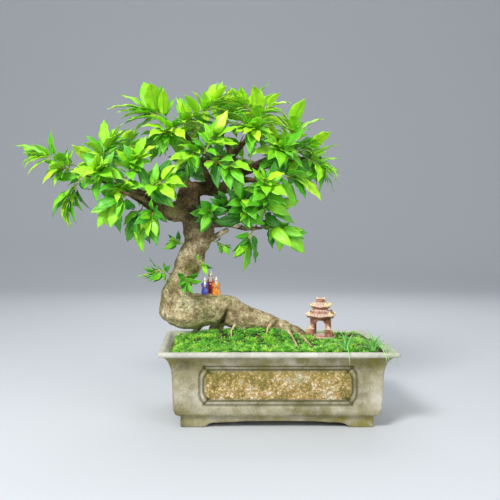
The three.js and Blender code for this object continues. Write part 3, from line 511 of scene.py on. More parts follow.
crown_low = min(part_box(name)[0].z for name in spray_names)
crown_high = max(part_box(name)[1].z for name in spray_names)


def from_middle(section):
    """A leaf's section as its keel, which is nearest the middle, and its two edges."""
    total = sum((v.co for v in section), Vector())
    return sorted((v.co.copy() for v in section), key=lambda place: (3 * place - total).length)


def leaf_frame(tip, left, right, keel, forward):
    """A leaf's foot, direction, upper side, length, width and bend, from its solid's corners."""
    middle = (left + right) / 2
    side = (right - left).normalized()
    first = forward - middle
    second = tip - forward
    chord = (SECTION_SHARES[1] - SECTION_SHARES[0]) / 2
    bend = max(first.angle(second) / ((1 - SECTION_SHARES[0]) / 2), 0.05)
    length = first.length * bend / (2 * math.sin(chord * bend))
    forth = first.normalized()
    above = side.cross(forth)
    if above.dot(keel - middle) > 0:
        above = -above
        side = -side
    turn = bend * sum(SECTION_SHARES) / 2
    direction = forth * math.cos(turn) + above * math.sin(turn)
    up = above * math.cos(turn) - forth * math.sin(turn)
    to_middle = bend * SECTION_SHARES[0]
    foot = middle - direction * length * math.sin(to_middle) / bend
    foot += up * length * (1 - math.cos(to_middle)) / bend
    return {"foot": foot, "direction": direction, "up": up, "length": length,
            "width": (right - left).length, "bend": bend}


def read_spray(node):
    """The leaves of a packed spray and the foot of its shoot."""
    bm = merged_copy(node)
    leaves = []
    for tip in bm.verts:
        ends = [edge.other_vert(tip) for edge in tip.link_edges]
        if len(ends) != 3 or min((v.co - tip.co).length for v in ends) < SHORTEST_TIP:
            continue
        further = {e.other_vert(v) for v in ends for e in v.link_edges} - set(ends) - {tip}
        if len(further) != 3:
            continue
        keel, left, right = from_middle(further)
        _, left_tip, right_tip = from_middle(ends)
        leaves.append(leaf_frame(tip.co.copy(), left, right, keel, (left_tip + right_tip) / 2))
    low, high = SHOOT_FOOT_EDGE
    caps = [f for f in bm.faces if all(low < e.calc_length() < high for e in f.edges)]
    foot = caps[0].calc_center_median() if caps else None
    bm.free()
    return leaves, foot


def bent(leaf, share, across, lift):
    """Places on a leaf, at shares of its length, that far to the right and above its middle."""
    turn = leaf["bend"] * share
    reach = leaf["length"] / leaf["bend"]
    direction, up = np.array(leaf["direction"]), np.array(leaf["up"])
    side = np.cross(direction, up)
    normal = np.outer(np.cos(turn), up) + np.outer(np.sin(turn), direction)
    return (np.array(leaf["foot"]) + np.outer(reach * np.sin(turn), direction)
            - np.outer(reach * (1 - np.cos(turn)), up) + np.outer(across, side)
            + normal * lift[:, None])


def half_width(share):
    """Half of a leaf's width at a share of its blade, where 1 is its widest."""
    body = share ** 0.6 * (1 - share) / WIDEST_BODY
    return body * (1 - 0.4 * np.clip((share - 0.7) / 0.25, 0, 1))


def pour(bm, pattern, places, **marks):
    """Adds a copy of the pattern mesh with its points at these places and these numbers on them."""
    pattern.vertices.foreach_set("co", places.ravel())
    for name, value in marks.items():
        pattern.attributes[name].data.foreach_set("value", np.full(len(places), value, np.float32))
    bm.from_mesh(pattern)


def new_pattern(name, bm, *marks):
    """A mesh to pour copies of, with its points as an array and room for these numbers."""
    pattern = bpy.data.meshes.new(name)
    bm.to_mesh(pattern)
    bm.free()
    rest = np.empty(len(pattern.vertices) * 3)
    pattern.vertices.foreach_get("co", rest)
    for layer in marks:
        pattern.attributes.new(layer, "FLOAT", "POINT")
    return pattern, rest.reshape(-1, 3)


def sheet_pattern(name, along, across, *marks):
    """A thin closed sheet to bend into a blade: share from 0 to 1, side from -0.5 to 0.5."""
    bm = bmesh.new()
    bm.loops.layers.uv.new("leaf")
    bmesh.ops.create_grid(bm, x_segments=along, y_segments=across, size=0.5, calc_uvs=True)
    bmesh.ops.solidify(bm, geom=bm.faces[:], thickness=1)
    pattern, rest = new_pattern(name, bm, *marks)
    return pattern, rest[:, 0] + 0.5, -rest[:, 1], rest[:, 2]


def tubes(bm, runs, slot_number):
    """Round stems along runs of (place, radius), in the piece's material of that number."""
    curve = bpy.data.curves.new("stems", "CURVE")
    curve.dimensions = "3D"
    curve.bevel_depth = 1
    curve.bevel_resolution = 1
    curve.use_fill_caps = True
    curve.resolution_u = 3
    for run in runs:
        spline = curve.splines.new("NURBS")
        spline.points.add(len(run) - 1)
        for point, (place, radius) in zip(spline.points, run):
            point.co = (*place, 1)
            point.radius = radius
        spline.use_endpoint_u = True
        spline.order_u = 3
    holder = bpy.data.objects.new("stems", curve)
    bpy.context.scene.collection.objects.link(holder)
    evaluated = holder.evaluated_get(bpy.context.evaluated_depsgraph_get())
    mesh = bpy.data.meshes.new_from_object(evaluated)
    for polygon in mesh.polygons:
        polygon.material_index = slot_number
    bm.from_mesh(mesh)
    bpy.data.objects.remove(holder)
    bpy.data.curves.remove(curve)


def middle_of(leaf):
    """The place half a leaf's length from its foot."""
    return leaf["foot"] + leaf["direction"] * leaf["length"] / 2


def kite(leaf):
    """A leaf's outline in four triangles, to test what it would cross."""
    half = leaf["width"] / 2
    shares = np.array([0.12, 0.36, 0.36, 0.7, 0.7, 1])
    rims = bent(leaf, shares, np.array([0, half, -half, half * 0.7, -half * 0.7, 0]), np.zeros(6))
    return BVHTree.FromPolygons([Vector(p) for p in rims],
                                [(0, 1, 2), (1, 3, 2), (2, 3, 4), (3, 5, 4)])


def new_leaf(draw, path, spot, turn, length):
    """A leaf that stands off the shoot there: its foot, direction and upper side follow the crown."""
    place = min(spot * (len(path) - 1), len(path) - 1.001)
    start, end = path[int(place)], path[int(place) + 1]
    foot = start.lerp(end, place - int(place))
    axis = (end - start).normalized()
    beside = axis.cross(Vector((0, 0, 1))).normalized()
    above = beside.cross(axis)
    spread = math.radians(78 - 46 * spot + draw.uniform(-8, 8))
    off = foot - CROWN_MIDDLE
    outward = Vector([a / b / b for a, b in zip(off, CROWN_HALF)]).normalized()
    hang = -0.38 + 0.54 * (foot.z - crown_low) / (crown_high - crown_low)
    aside = beside * math.cos(turn) + above * math.sin(turn)
    direction = axis * math.cos(spread) + aside * math.sin(spread)
    direction = (direction + outward * 0.35 + Vector((0, 0, hang))).normalized()
    up = Vector((draw.uniform(-0.3, 0.3), draw.uniform(-0.3, 0.3), 0.5)) + outward * 0.8
    up = (up - direction * up.dot(direction)).normalized()
    return {"foot": foot, "direction": direction, "up": up, "length": length,
            "width": length * draw.uniform(0.34, 0.44), "bend": draw.uniform(0.2, 1.1)}


leaf_pattern, leaf_share, leaf_side, leaf_lift = sheet_pattern("leaf_pattern", *LEAF_CUTS, "tone")
blade_share = STALK_SHARE + (1 - STALK_SHARE) * leaf_share


def add_leaf(bm, leaf, draw, tone):
    """One leaf: folded along its rib, with waved edges, bent along its length."""
    half = leaf["width"] * LEAF_SLIMNESS / 2 * (half_width(leaf_share) + 0.01)
    across = leaf_side * 2 * half
    wave = draw.uniform(0.03, 0.07) * np.sin(leaf_share * draw.uniform(14, 21) + draw.uniform(0, 6))
    fold = draw.uniform(0.12, 0.34)
    lift = fold * np.abs(across) + leaf["width"] * wave * (2 * leaf_side) ** 2
    lift += (leaf_lift - 1) * LEAF_THICKNESS
    pour(bm, leaf_pattern, bent(leaf, blade_share, across, lift), tone=tone)


def stalk(leaf):
    """The run of a leaf's stalk and rib."""
    spots = bent(leaf, np.array(STALK_SHARES), np.zeros(len(STALK_SHARES)), np.array(STALK_LIFTS))
    return [(Vector(spot), radius) for spot, radius in zip(spots, STALK_RADII)]


# A fig leaf has a glossy skin with a thin wax bloom. Young leaves at the top and at the shoots' ends
# are yellow-green, old ones deep green, leaves deep inside the crown are painted darker as shade, and
# the rib and side veins are paler than the blade.
leaf_material, tree, shader = new_material("glossy_fig_leaf", Roughness=0.44, Coat_Weight=0.12,
                                           Coat_Roughness=0.35)
tone_socket = add(tree, "ShaderNodeAttribute", attribute_name="tone").outputs["Fac"]
leaf_uv = add(tree, "ShaderNodeUVMap", uv_map="leaf").outputs["UV"]
uv_parts = add(tree, "ShaderNodeSeparateXYZ", {"Vector": leaf_uv})
spot = add(tree, "ShaderNodeTexCoord").outputs["Object"]
blotch = add(tree, "ShaderNodeTexNoise", {"Vector": spot, "Scale": 1 / LEAF_BLOTCH,
                                          "Detail": 3}).outputs["Fac"]
toned = add(tree, "ShaderNodeMath", {0: blotch, 1: 0.35, 2: tone_socket}, operation="MULTIPLY_ADD")
leaf_tone = add(tree, "ShaderNodeValToRGB", {"Fac": toned.outputs[0]}, [
    (0.15, "#1d5f10"), (0.35, "#369417"), (0.55, "#62c01a"), (0.75, "#93de1c"), (1.0, "#c8f52e")])
from_rib = add(tree, "ShaderNodeMath", {0: uv_parts.outputs["Y"], 1: 0.5}, operation="SUBTRACT")
from_rib = add(tree, "ShaderNodeMath", {0: from_rib.outputs[0]}, operation="ABSOLUTE")
rib = add(tree, "ShaderNodeMapRange", {"Value": from_rib.outputs[0], "From Min": 0.035,
                                       "From Max": 0.010})
slant = add(tree, "ShaderNodeMath", {0: from_rib.outputs[0], 1: -3.6}, operation="MULTIPLY")
vein_row = add(tree, "ShaderNodeMath", {0: uv_parts.outputs["X"], 1: SIDE_VEINS, 2: slant.outputs[0]},
               operation="MULTIPLY_ADD")
vein_wave = add(tree, "ShaderNodeMath", {0: vein_row.outputs[0], 1: 0.5}, operation="PINGPONG")
vein = add(tree, "ShaderNodeMapRange", {"Value": vein_wave.outputs[0], "From Min": 0.09,
                                        "From Max": 0.0, "To Max": 0.45})
veins = add(tree, "ShaderNodeMath", {0: rib.outputs[0], 1: vein.outputs[0]}, operation="MAXIMUM")
veined = add(tree, "ShaderNodeMath", {0: veins.outputs[0], 1: 0.32}, operation="MULTIPLY")
leaf_colour = add(tree, "ShaderNodeMix", {0: veined.outputs[0], 6: leaf_tone.outputs[0],
                                          7: linear("#cdf07a")}, data_type="RGBA")
tree.links.new(leaf_colour.outputs[2], shader.inputs["Base Color"])
bump = add(tree, "ShaderNodeBump", {"Height": veins.outputs[0], "Distance": 0.6 * MM,
                                    "Strength": 0.5}, invert=True)
tree.links.new(bump.outputs[0], shader.inputs["Normal"])

# Shoots and stalks are smooth and yellow-green, with light brown stretches.
shoot_material, tree, shader = new_material("green_shoot", Roughness=0.5)
spot = add(tree, "ShaderNodeTexCoord").outputs["Object"]
flush = add(tree, "ShaderNodeTexNoise", {"Vector": spot, "Scale": 1 / SHOOT_FLUSH,
                                         "Detail": 2}).outputs["Fac"]
shoot_tone = add(tree, "ShaderNodeValToRGB", {"Fac": flush}, [
    (0.38, "#8aa63a"), (0.52, "#b3c257"), (0.66, "#b08a4a")])
tree.links.new(shoot_tone.outputs[0], shader.inputs["Base Color"])

read = [read_spray(name) for name in spray_names]
outlines = []
for leaves, _ in read:
    for leaf in leaves:
        outlines.append((middle_of(leaf), leaf["length"], kite(leaf)))
trunk_skin = skin_of(trunk)
solids = [trunk_skin] + [BVHTree.FromBMesh(merged_copy(name)) for name in
                         ("figure_blue", "figure_red", "figure_orange")]


def room_for(leaf):
    """True if the leaf crosses no other leaf, wood or figure; it then counts as there."""
    middle = middle_of(leaf)
    outline = kite(leaf)
    for centre, length, other in outlines:
        if (centre - middle).length < (length + leaf["length"]) * 0.55 and outline.overlap(other):
            return False
    if any(outline.overlap(solid) for solid in solids):
        return False
    outlines.append((middle, leaf["length"], outline))
    return True


for number, (name, (leaves, shoot_foot)) in enumerate(zip(spray_names, read)):
    draw = random.Random(number + 40)
    if shoot_foot is None:
        shoot_foot = leaves[0]["foot"]
    leaves.sort(key=lambda leaf: (leaf["foot"] - shoot_foot).length)
    path = [shoot_foot] + [leaf["foot"] for leaf in leaves]
    path.append(path[-1] + (path[-1] - path[0]).normalized() * 6 * MM)
    usual = sum(leaf["length"] for leaf in leaves) / len(leaves)
    grown = [(leaf, (k + 1) / len(leaves)) for k, leaf in enumerate(leaves)]
    wanted = round(len(leaves) * FILLERS)
    for k in range(wanted):
        for attempt in range(FILLER_TRIES):
            order = min(max((k + 0.5) / wanted + draw.uniform(-0.1, 0.1), 0.05), 0.98)
            length = usual * draw.uniform(*FILLER_LENGTH) * (1 if attempt < FILLER_TRIES / 2 else 0.7)
            leaf = new_leaf(draw, path, order, TURN_STEP * (k + 0.5) + 0.9 * attempt, length)
            if room_for(leaf):
                grown.append((leaf, order))
                break
    bm = bmesh.new()
    for leaf, order in grown:
        middle = middle_of(leaf)
        rise = (middle.z - crown_low) / (crown_high - crown_low)
        off = middle - CROWN_MIDDLE
        # Painted shade: leaves deep inside the crown get a lower, darker tone; height and the shoot's
        # end stand for the leaf's age.
        outer = min(1, Vector([a / b for a, b in zip(off, CROWN_HALF)]).length)
        tone = -0.22 + 0.4 * rise + 0.42 * outer ** 2 + 0.16 * order ** 2 + draw.uniform(-0.2, 0.24)
        add_leaf(bm, leaf, draw, min(max(tone, 0.02), 0.85))
    shoot = [(path[0] - (path[1] - path[0]).normalized() * 4 * MM, SHOOT_RADIUS * 1.3)]
    shoot += [(place, SHOOT_RADIUS * (1 - 0.5 * k / len(path))) for k, place in enumerate(path)]
    tubes(bm, [shoot] + [stalk(leaf) for leaf, _ in grown], 1)
    piece = new_piece(name + "_leaves", bm, "leaf", name)
    piece.data.materials.append(leaf_material)
    piece.data.materials.append(shoot_material)


# Moss. Low feathery moss in soft cushions covers the soil, thick at the left and thin at the right,
# where bare soil and gravel show.
MOSS_TUFTS = 4700
MOSS_FRONDS = 7
MOSS_LENGTH = 14 * MM
MOSS_STRIPS = 5
MOSS_WIDTH = 2.6 * MM
MOSS_THICKNESS = 0.25 * MM
MOSS_LEAN = (0.1, 0.8)
MOSS_DROOP = (0.5, 1.5)
INNER_HALF = Vector((266, 166)) * MM
CUSHION_SIZE = 28 * MM
COVER_PATCH = 45 * MM
YOUTH_PATCH = 20 * MM
THIN_FROM = 60 * MM
THINNING = 4.6
WOOD_CLEARANCE = 3 * MM
SHORT_REACH = 16 * MM
DROP_HEIGHT = 1
PAVILION_PLACE = pot_middle + Vector((139, 19, 198)) * MM
PAVILION_TURN = math.radians(-20)
SLAB_HALF = Vector((39, 31)) * MM
pavilion_matrix = Matrix.Translation(PAVILION_PLACE) @ Matrix.Rotation(PAVILION_TURN, 4, "Z")

frond_pattern, frond_share, frond_side, frond_lift = sheet_pattern("frond_pattern", 3, 1, "tone")


def arched(foot, heading, lean, droop, length, half, shares, sides, lifts, thickness, fold=0.3):
    """A blade that rises from its foot, leans to its heading and droops towards its tip."""
    out = np.array((math.cos(heading), math.sin(heading), 0))
    side = np.array((-out[1], out[0], 0))
    angle = lean + droop * shares / 2
    reach = length * shares
    normal = np.outer(-np.cos(lean + droop * shares), out)
    normal[:, 2] = np.sin(lean + droop * shares)
    spine = np.array(foot) + np.outer(reach * np.sin(angle), out)
    spine[:, 2] += reach * np.cos(angle)
    across = sides * 2 * half
    lift = fold * np.abs(across) + lifts * thickness
    return spine - np.outer(across, side) + normal * lift[:, None]


moss_bms = [bmesh.new() for _ in range(MOSS_STRIPS)]
draw = random.Random(5)
for _ in range(MOSS_TUFTS):
    x = draw.uniform(-1, 1) * INNER_HALF.x
    y = draw.uniform(-1, 1) * INNER_HALF.y
    above = pot_middle + Vector((x, y, DROP_HEIGHT))
    foot, facing, _, _ = soil_skin.ray_cast(above, Vector((0, 0, -1)))
    cover = 1.05 + 0.9 * noise.fractal(Vector((x, y, 3)) / COVER_PATCH, 1.0, 2.0, 3)
    cover -= THINNING * max(0, x - THIN_FROM)
    if foot is None or facing.z < 0.6 or cover < draw.uniform(0.15, 0.8):
        continue
    _, _, _, gap = trunk_skin.find_nearest(foot)
    in_slab = pavilion_matrix.inverted() @ foot
    if gap < WOOD_CLEARANCE or (abs(in_slab.x) < SLAB_HALF.x and abs(in_slab.y) < SLAB_HALF.y):
        continue
    cushion = max(0.45, 0.8 + 0.75 * noise.noise(Vector((x, y, 0)) / CUSHION_SIZE))
    cushion *= min(1, 0.25 + gap / SHORT_REACH)
    bm = moss_bms[int((x / INNER_HALF.x + 1) / 2 * MOSS_STRIPS * 0.999)]
    youth = draw.uniform(0, 0.55) + 0.5 * noise.noise(Vector((x, y, 7)) / YOUTH_PATCH)
    for k in range(MOSS_FRONDS):
        heading = (k + draw.random()) * 2 * math.pi / MOSS_FRONDS
        length = MOSS_LENGTH * cushion * draw.uniform(0.6, 1.25)
        half = MOSS_WIDTH / 2 * (frond_share * (1.08 - frond_share) * 3.2 + 0.12)
        lean, droop = draw.uniform(*MOSS_LEAN), draw.uniform(*MOSS_DROOP)
        spots = arched(foot - Vector((0, 0, MM)), heading, lean, droop, length, half, frond_share,
                       frond_side, frond_lift, MOSS_THICKNESS)
        pour(bm, frond_pattern, spots, tone=youth + draw.uniform(0, 0.3) + 0.35 * cushion - 0.1)

# Moss fronds are soft and matt with a faint sheen. Young cushions are yellow-green, old ones brown.
moss_material, tree, shader = new_material("feathery_moss", Roughness=0.7, Sheen_Weight=0.2)
tone_socket = add(tree, "ShaderNodeAttribute", attribute_name="tone").outputs["Fac"]
moss_tone = add(tree, "ShaderNodeValToRGB", {"Fac": tone_socket}, [
    (0.0, "#5c4a1a"), (0.12, "#2f6a10"), (0.4, "#46a60f"), (0.7, "#7edb1c"), (1.0, "#cdf650")])
tree.links.new(moss_tone.outputs[0], shader.inputs["Base Color"])
for number, bm in enumerate(moss_bms):
    moss = new_piece(f"moss_{number + 1}", bm, "grass")
    moss.data.materials.append(moss_material)


# Gravel. Loose grains of broken brown and grey stone lie on the soil towards the right, where the
# moss is thin.
PEBBLES = 320
PEBBLE_RADIUS = (1.2 * MM, 3 * MM)
PEBBLE_SHAPE = (1.3, 1, 0.7)
PEBBLE_GAP = 5 * MM
pebble_bm = bmesh.new()
bmesh.ops.create_icosphere(pebble_bm, subdivisions=1, radius=1)
pebble_pattern, pebble_rest = new_pattern("pebble_pattern", pebble_bm, "tone")
gravel_bm = bmesh.new()
draw = random.Random(8)
for number in range(PEBBLES):
    x = draw.uniform(THIN_FROM, INNER_HALF.x)
    y = draw.uniform(-1, 1) * INNER_HALF.y
    above = pot_middle + Vector((x, y, DROP_HEIGHT))
    foot = soil_skin.ray_cast(above, Vector((0, 0, -1)))[0]
    if foot is None or trunk_skin.find_nearest(foot)[3] < PEBBLE_GAP:
        continue
    size = draw.uniform(*PEBBLE_RADIUS)
    lumpy = pebble_rest * (1 + 0.25 * rough(pebble_rest, 1.3, 2, seed=number))[:, None]
    turn = Matrix.Rotation(draw.uniform(0, 6), 3, "Z") @ Matrix.Diagonal(PEBBLE_SHAPE)
    spots = np.array(foot) + lumpy @ np.array(turn).T * size
    pour(gravel_bm, pebble_pattern, spots, tone=draw.random())
gravel = new_piece("gravel", gravel_bm, "soil")

# Broken stone is matt, and each grain keeps the colour of the rock that it came from.
gravel_material, tree, shader = new_material("broken_stone", Roughness=0.85)
tone_socket = add(tree, "ShaderNodeAttribute", attribute_name="tone").outputs["Fac"]
stone_tone = add(tree, "ShaderNodeValToRGB", {"Fac": tone_socket}, [
    (0.0, "#4a3a28"), (0.5, "#8b7355"), (1.0, "#b9ad98")])
tree.links.new(stone_tone.outputs[0], shader.inputs["Base Color"])
gravel.data.materials.append(gravel_material)


# Pavilion. A small moulded ornament of fired clay: two hipped tiled roofs with upturned corners and
# cream knobs, on four pillars with an arched opening, standing on a stepped slab with two piers.
PAVILION_VOXEL = 0.9 * MM
CLAY_LUMP = 4 * MM
CLAY_LUMP_HEIGHT = 0.15 * MM
KNOB_REACH = 4 * MM
FIRING_PATCH = 17 * MM
PILLAR = Vector((21, 15))
PIER = Vector((26, -22))
CORNERS = ((1, 1), (-1, 1), (-1, -1), (1, -1))
# Half length, half depth and height at the eaves and at the top, the corners' lift, the tile rows
ROOFS = ((36, 28, 68, 25, 19, 86, 5, 7), (25, 19, 95, 12.5, 9, 108, 4, 5))
RIDGE_HALF = 13
RIDGE_HEIGHT = 119
# Foot, top and the radii there of the collars on each pillar
COLLARS = ((18, 22, 7.4, 6.4), (60, 64, 5.6, 7.2))
# Radii of the moulded rolls, which taper where they have two, and of the knobs
HIP_ROLL = (2.0, 1.6)
EAVE_ROLL = 1.7
TILE_ROLL = (1.1, 0.9)
RIDGE_ROLL = 1.8
POST_ROLL = (2.2, 1.6)
CORNER_KNOB = 4.2
HIP_KNOB = 2.8
RIDGE_KNOB = 2.6
PIER_KNOB = 5.2
POST_KNOB = 3.2
details = bmesh.new()
knobs = []


def rod_at(start, end, radius, radius_end=None):
    """A moulded roll, in the pavilion's own millimetres."""
    add_rod(details, Vector(start) * MM, Vector(end) * MM, radius * MM, (radius_end or radius) * MM)


def knob_at(place, radius):
    """A round cream knob, in the pavilion's own millimetres."""
    matrix = Matrix.Translation(Vector(place) * MM)
    bmesh.ops.create_icosphere(details, subdivisions=2, radius=radius * MM, matrix=matrix)
    knobs.append(pavilion_matrix @ (Vector(place) * MM))


for eave_x, eave_y, eave_z, top_x, top_y, top_z, lift, tiles in ROOFS:
    for number, (sx, sy) in enumerate(CORNERS):
        nx, ny = CORNERS[(number + 1) % 4]
        corner = (sx * eave_x, sy * eave_y, eave_z + lift)
        rod_at(corner, (sx * top_x, sy * top_y, top_z + 1), *HIP_ROLL)
        knob_at((sx * (eave_x - 1), sy * (eave_y - 1), eave_z + lift + 3), CORNER_KNOB)
        knob_at((sx * (eave_x - 8), sy * (eave_y - 5), eave_z + lift + 6), HIP_KNOB)
        middle = ((sx + nx) * eave_x / 2, (sy + ny) * eave_y / 2, eave_z)
        rod_at(corner, middle, EAVE_ROLL)
        rod_at(middle, (nx * eave_x, ny * eave_y, eave_z + lift), EAVE_ROLL)
        for k in range(1, tiles):
            share = 2 * k / tiles - 1
            rise = eave_z + lift * share * share
            low = [c * (share if c != n else 1) for c, n in zip((sx, sy), (nx, ny))]
            rod_at((low[0] * eave_x, low[1] * eave_y, rise + 1),
                   (low[0] * top_x, low[1] * top_y, top_z), *TILE_ROLL)
rod_at((-RIDGE_HALF, 0, RIDGE_HEIGHT), (RIDGE_HALF, 0, RIDGE_HEIGHT), RIDGE_ROLL)
for sx in (-1, 1):
    knob_at((sx * (RIDGE_HALF - 2), 0, RIDGE_HEIGHT + 1), RIDGE_KNOB)
    knob_at((sx * PIER.x, PIER.y, 38), PIER_KNOB)
    rod_at((sx * (PIER.x + 11), PIER.y, 19), (sx * (PIER.x + 11), PIER.y, 31), *POST_ROLL)
    knob_at((sx * (PIER.x + 10), PIER.y, 33), POST_KNOB)
    for sy in (-1, 1):
        for low, high, radius, radius_end in COLLARS:
            rod_at((sx * PILLAR.x, sy * PILLAR.y, low), (sx * PILLAR.x, sy * PILLAR.y, high),
                   radius, radius_end)
bmesh.ops.transform(details, matrix=pavilion_matrix, verts=details.verts)
detail_mesh = bpy.data.meshes.new("pavilion_details")
details.to_mesh(detail_mesh)
details.free()
pavilion_bm = merged_copy("pavilion")
pavilion_bm.from_mesh(detail_mesh)
pavilion = new_piece("clay_pavilion", pavilion_bm, "fired_clay", "pavilion")
fuse(pavilion, PAVILION_VOXEL, 2)
places, normals = points_of(pavilion)
push(pavilion, places, normals, CLAY_LUMP_HEIGHT * rough(places, CLAY_LUMP, 2))
cream = np.zeros(len(places))
for knob in knobs:
    off = np.linalg.norm(places - np.array(knob), axis=1)
    cream = np.maximum(cream, np.clip(1.85 - off / KNOB_REACH, 0, 1))
mark(pavilion, "cream", cream)

# Low-fired clay is matt and red-brown and patchy from the kiln. Where it faces up it is painted paler,
# as painted light from above.
clay_material, tree, shader = new_material("fired_clay", Roughness=0.85)
spot = add(tree, "ShaderNodeTexCoord").outputs["Object"]
firing = add(tree, "ShaderNodeTexNoise", {"Vector": spot, "Scale": 1 / FIRING_PATCH,
                                          "Detail": 5}).outputs["Fac"]
clay_tone = add(tree, "ShaderNodeValToRGB", {"Fac": firing}, [
    (0.30, "#5c3527"), (0.45, "#8d5b47"), (0.58, "#b07f68"), (0.72, "#cda68c")])
facing = add(tree, "ShaderNodeNewGeometry").outputs["Normal"]
facing_up = add(tree, "ShaderNodeSeparateXYZ", {"Vector": facing})
# Painted light: faces that point up are drawn paler.
lit_from_above = add(tree, "ShaderNodeMapRange", {"Value": facing_up.outputs["Z"], "From Min": 0.1,
                                         "From Max": 0.6, "To Max": 0.8})
clay_lit_from_above = add(tree, "ShaderNodeMix", {0: lit_from_above.outputs[0], 6: clay_tone.outputs[0],
                                          7: linear("#dec6b8")}, data_type="RGBA")
cream_socket = add(tree, "ShaderNodeAttribute", attribute_name="cream").outputs["Fac"]
clay_colour = add(tree, "ShaderNodeMix", {0: cream_socket, 6: clay_lit_from_above.outputs[2],
                                          7: linear("#eddcab")}, data_type="RGBA")
tree.links.new(clay_colour.outputs[2], shader.inputs["Base Color"])
bump = add(tree, "ShaderNodeBump", {"Height": firing, "Distance": 0.6 * MM, "Strength": 0.5})
tree.links.new(bump.outputs[0], shader.inputs["Normal"])
pavilion.data.materials.append(clay_material)


# Figures. Three small glazed clay men in long robes, with white beards and tall white caps, who stand
# together on the level stretch of the trunk.
FIGURE_VOXEL = 0.55 * MM
GLAZE_POOL = 6.2 * MM
# Name, place of the robe's foot, height, width, how far the cap's top is above the head, as a share of
# the height, the finish, and the glaze where it is thick and where it is thin
FIGURES = (("figure_blue", (-187, 10, 335), 43, 21, 0.24, "blue_glaze", "#1d2668", "#4653b4"),
           ("figure_red", (-171, 36, 330), 65, 20, 0.25, "red_glaze", "#8c121c", "#d02b33"),
           ("figure_orange", (-155, 10, 335), 43, 24, 0.24, "orange_glaze", "#cc6410", "#f5a32c"))


def glazed(name, dark, light):
    """Glaze over white clay: a glossy skin, darker where it has pooled."""
    made, tree, shader = new_material(name, Roughness=0.22, Coat_Weight=0.6, Coat_Roughness=0.08)
    spot = add(tree, "ShaderNodeTexCoord").outputs["Object"]
    pooling = add(tree, "ShaderNodeTexNoise", {"Vector": spot, "Scale": 1 / GLAZE_POOL,
                                               "Detail": 3}).outputs["Fac"]
    robe = add(tree, "ShaderNodeValToRGB", {"Fac": pooling}, [(0.36, dark), (0.62, light)])
    colour = robe.outputs[0]
    for part, tone in (("skin", "#e2b596"), ("white", "#efeadd"), ("eye", "#2a1c14")):
        part_socket = add(tree, "ShaderNodeAttribute", attribute_name=part).outputs["Fac"]
        colour = add(tree, "ShaderNodeMix", {0: part_socket, 6: colour, 7: linear(tone)},
                     data_type="RGBA").outputs[2]
    tree.links.new(colour, shader.inputs["Base Color"])
    return made


for name, place, tall, wide, cap, material_slot, dark, light in FIGURES:
    foot = pot_middle + Vector(place) * MM
    tall, wide = tall * MM, wide * MM
    head = foot + Vector((0, -0.01, 0.775)) * tall
    figure_bm = merged_copy(name)
    nose = head + Vector((0, -0.115, -0.01)) * tall
    hands = foot + Vector((0, -0.46 * wide, 0.42 * tall))
    for middle, radius in ((head, 0.11 * tall), (nose, 0.022 * tall), (hands, 0.12 * wide)):
        bmesh.ops.create_icosphere(figure_bm, subdivisions=3, radius=radius,
                                   matrix=Matrix.Translation(middle))
    beard = head + Vector((0, -0.08, -0.07)) * tall
    beard_tip = beard + Vector((0, -0.03, -0.19)) * tall
    add_rod(figure_bm, beard, beard_tip, 0.07 * tall, 0.015 * tall, 10)
    cap_foot = head + Vector((0, 0.01, 0.07)) * tall
    cap_top = head + Vector((0, 0.015, cap)) * tall
    add_rod(figure_bm, cap_foot, cap_top, 0.085 * tall, 0.025 * tall, 10)
    collar = foot + Vector((0, 0, 0.665 * tall))
    add_rod(figure_bm, collar, collar + Vector((0, 0, 0.03 * tall)), 0.24 * wide, 0.2 * wide, 14)
    figure = new_piece(name + "_glazed", figure_bm, material_slot, name)
    fuse(figure, FIGURE_VOXEL, 3)
    places, normals = points_of(figure)
    local = (places - np.array(foot)) / tall
    angle = np.arctan2(local[:, 1], local[:, 0])
    robe = np.clip((0.62 - local[:, 2]) * 4, 0, 1) * (np.abs(normals[:, 2]) < 0.7)
    folds = 0.25 * np.sin(9 * angle + 6 * local[:, 2]) + 0.15 * np.sin(17 * angle - 9 * local[:, 2])
    push(figure, places, normals, robe * folds * MM)
    from_head = (places - np.array(head)) / tall
    to_head = np.linalg.norm(from_head, axis=1)
    beard_part = (from_head[:, 1] < -0.045) & (np.abs(from_head[:, 0]) < 0.07)
    beard_part &= (from_head[:, 2] < -0.045) & (from_head[:, 2] > -0.27)
    white = (from_head[:, 2] > 0.04) | beard_part
    skin_part = (to_head < 0.135) & ~white
    skin_part |= np.linalg.norm(places - np.array(hands), axis=1) < 0.16 * wide
    eyes = np.zeros(len(places))
    for sx in (-1, 1):
        eye = head + Vector((sx * 0.042, -0.1, 0.015)) * tall
        eyes = np.maximum(eyes, np.linalg.norm(places - np.array(eye), axis=1) < 0.014 * tall)
    mark(figure, "skin", skin_part)
    mark(figure, "white", white & (local[:, 2] > 0.45))
    mark(figure, "eye", eyes)
    figure.data.materials.append(glazed(material_slot, dark, light))


# Grass. A tuft of soft arching blades grows by the front wall at the right and hangs over the rim,
# with a thinner one to its left.
# Place, number of blades, and how many of them hang over the rim
GRASS_TUFTS = ((Vector((249, -150, 193)), 40, 4), (Vector((176, -158, 196)), 13, 1))
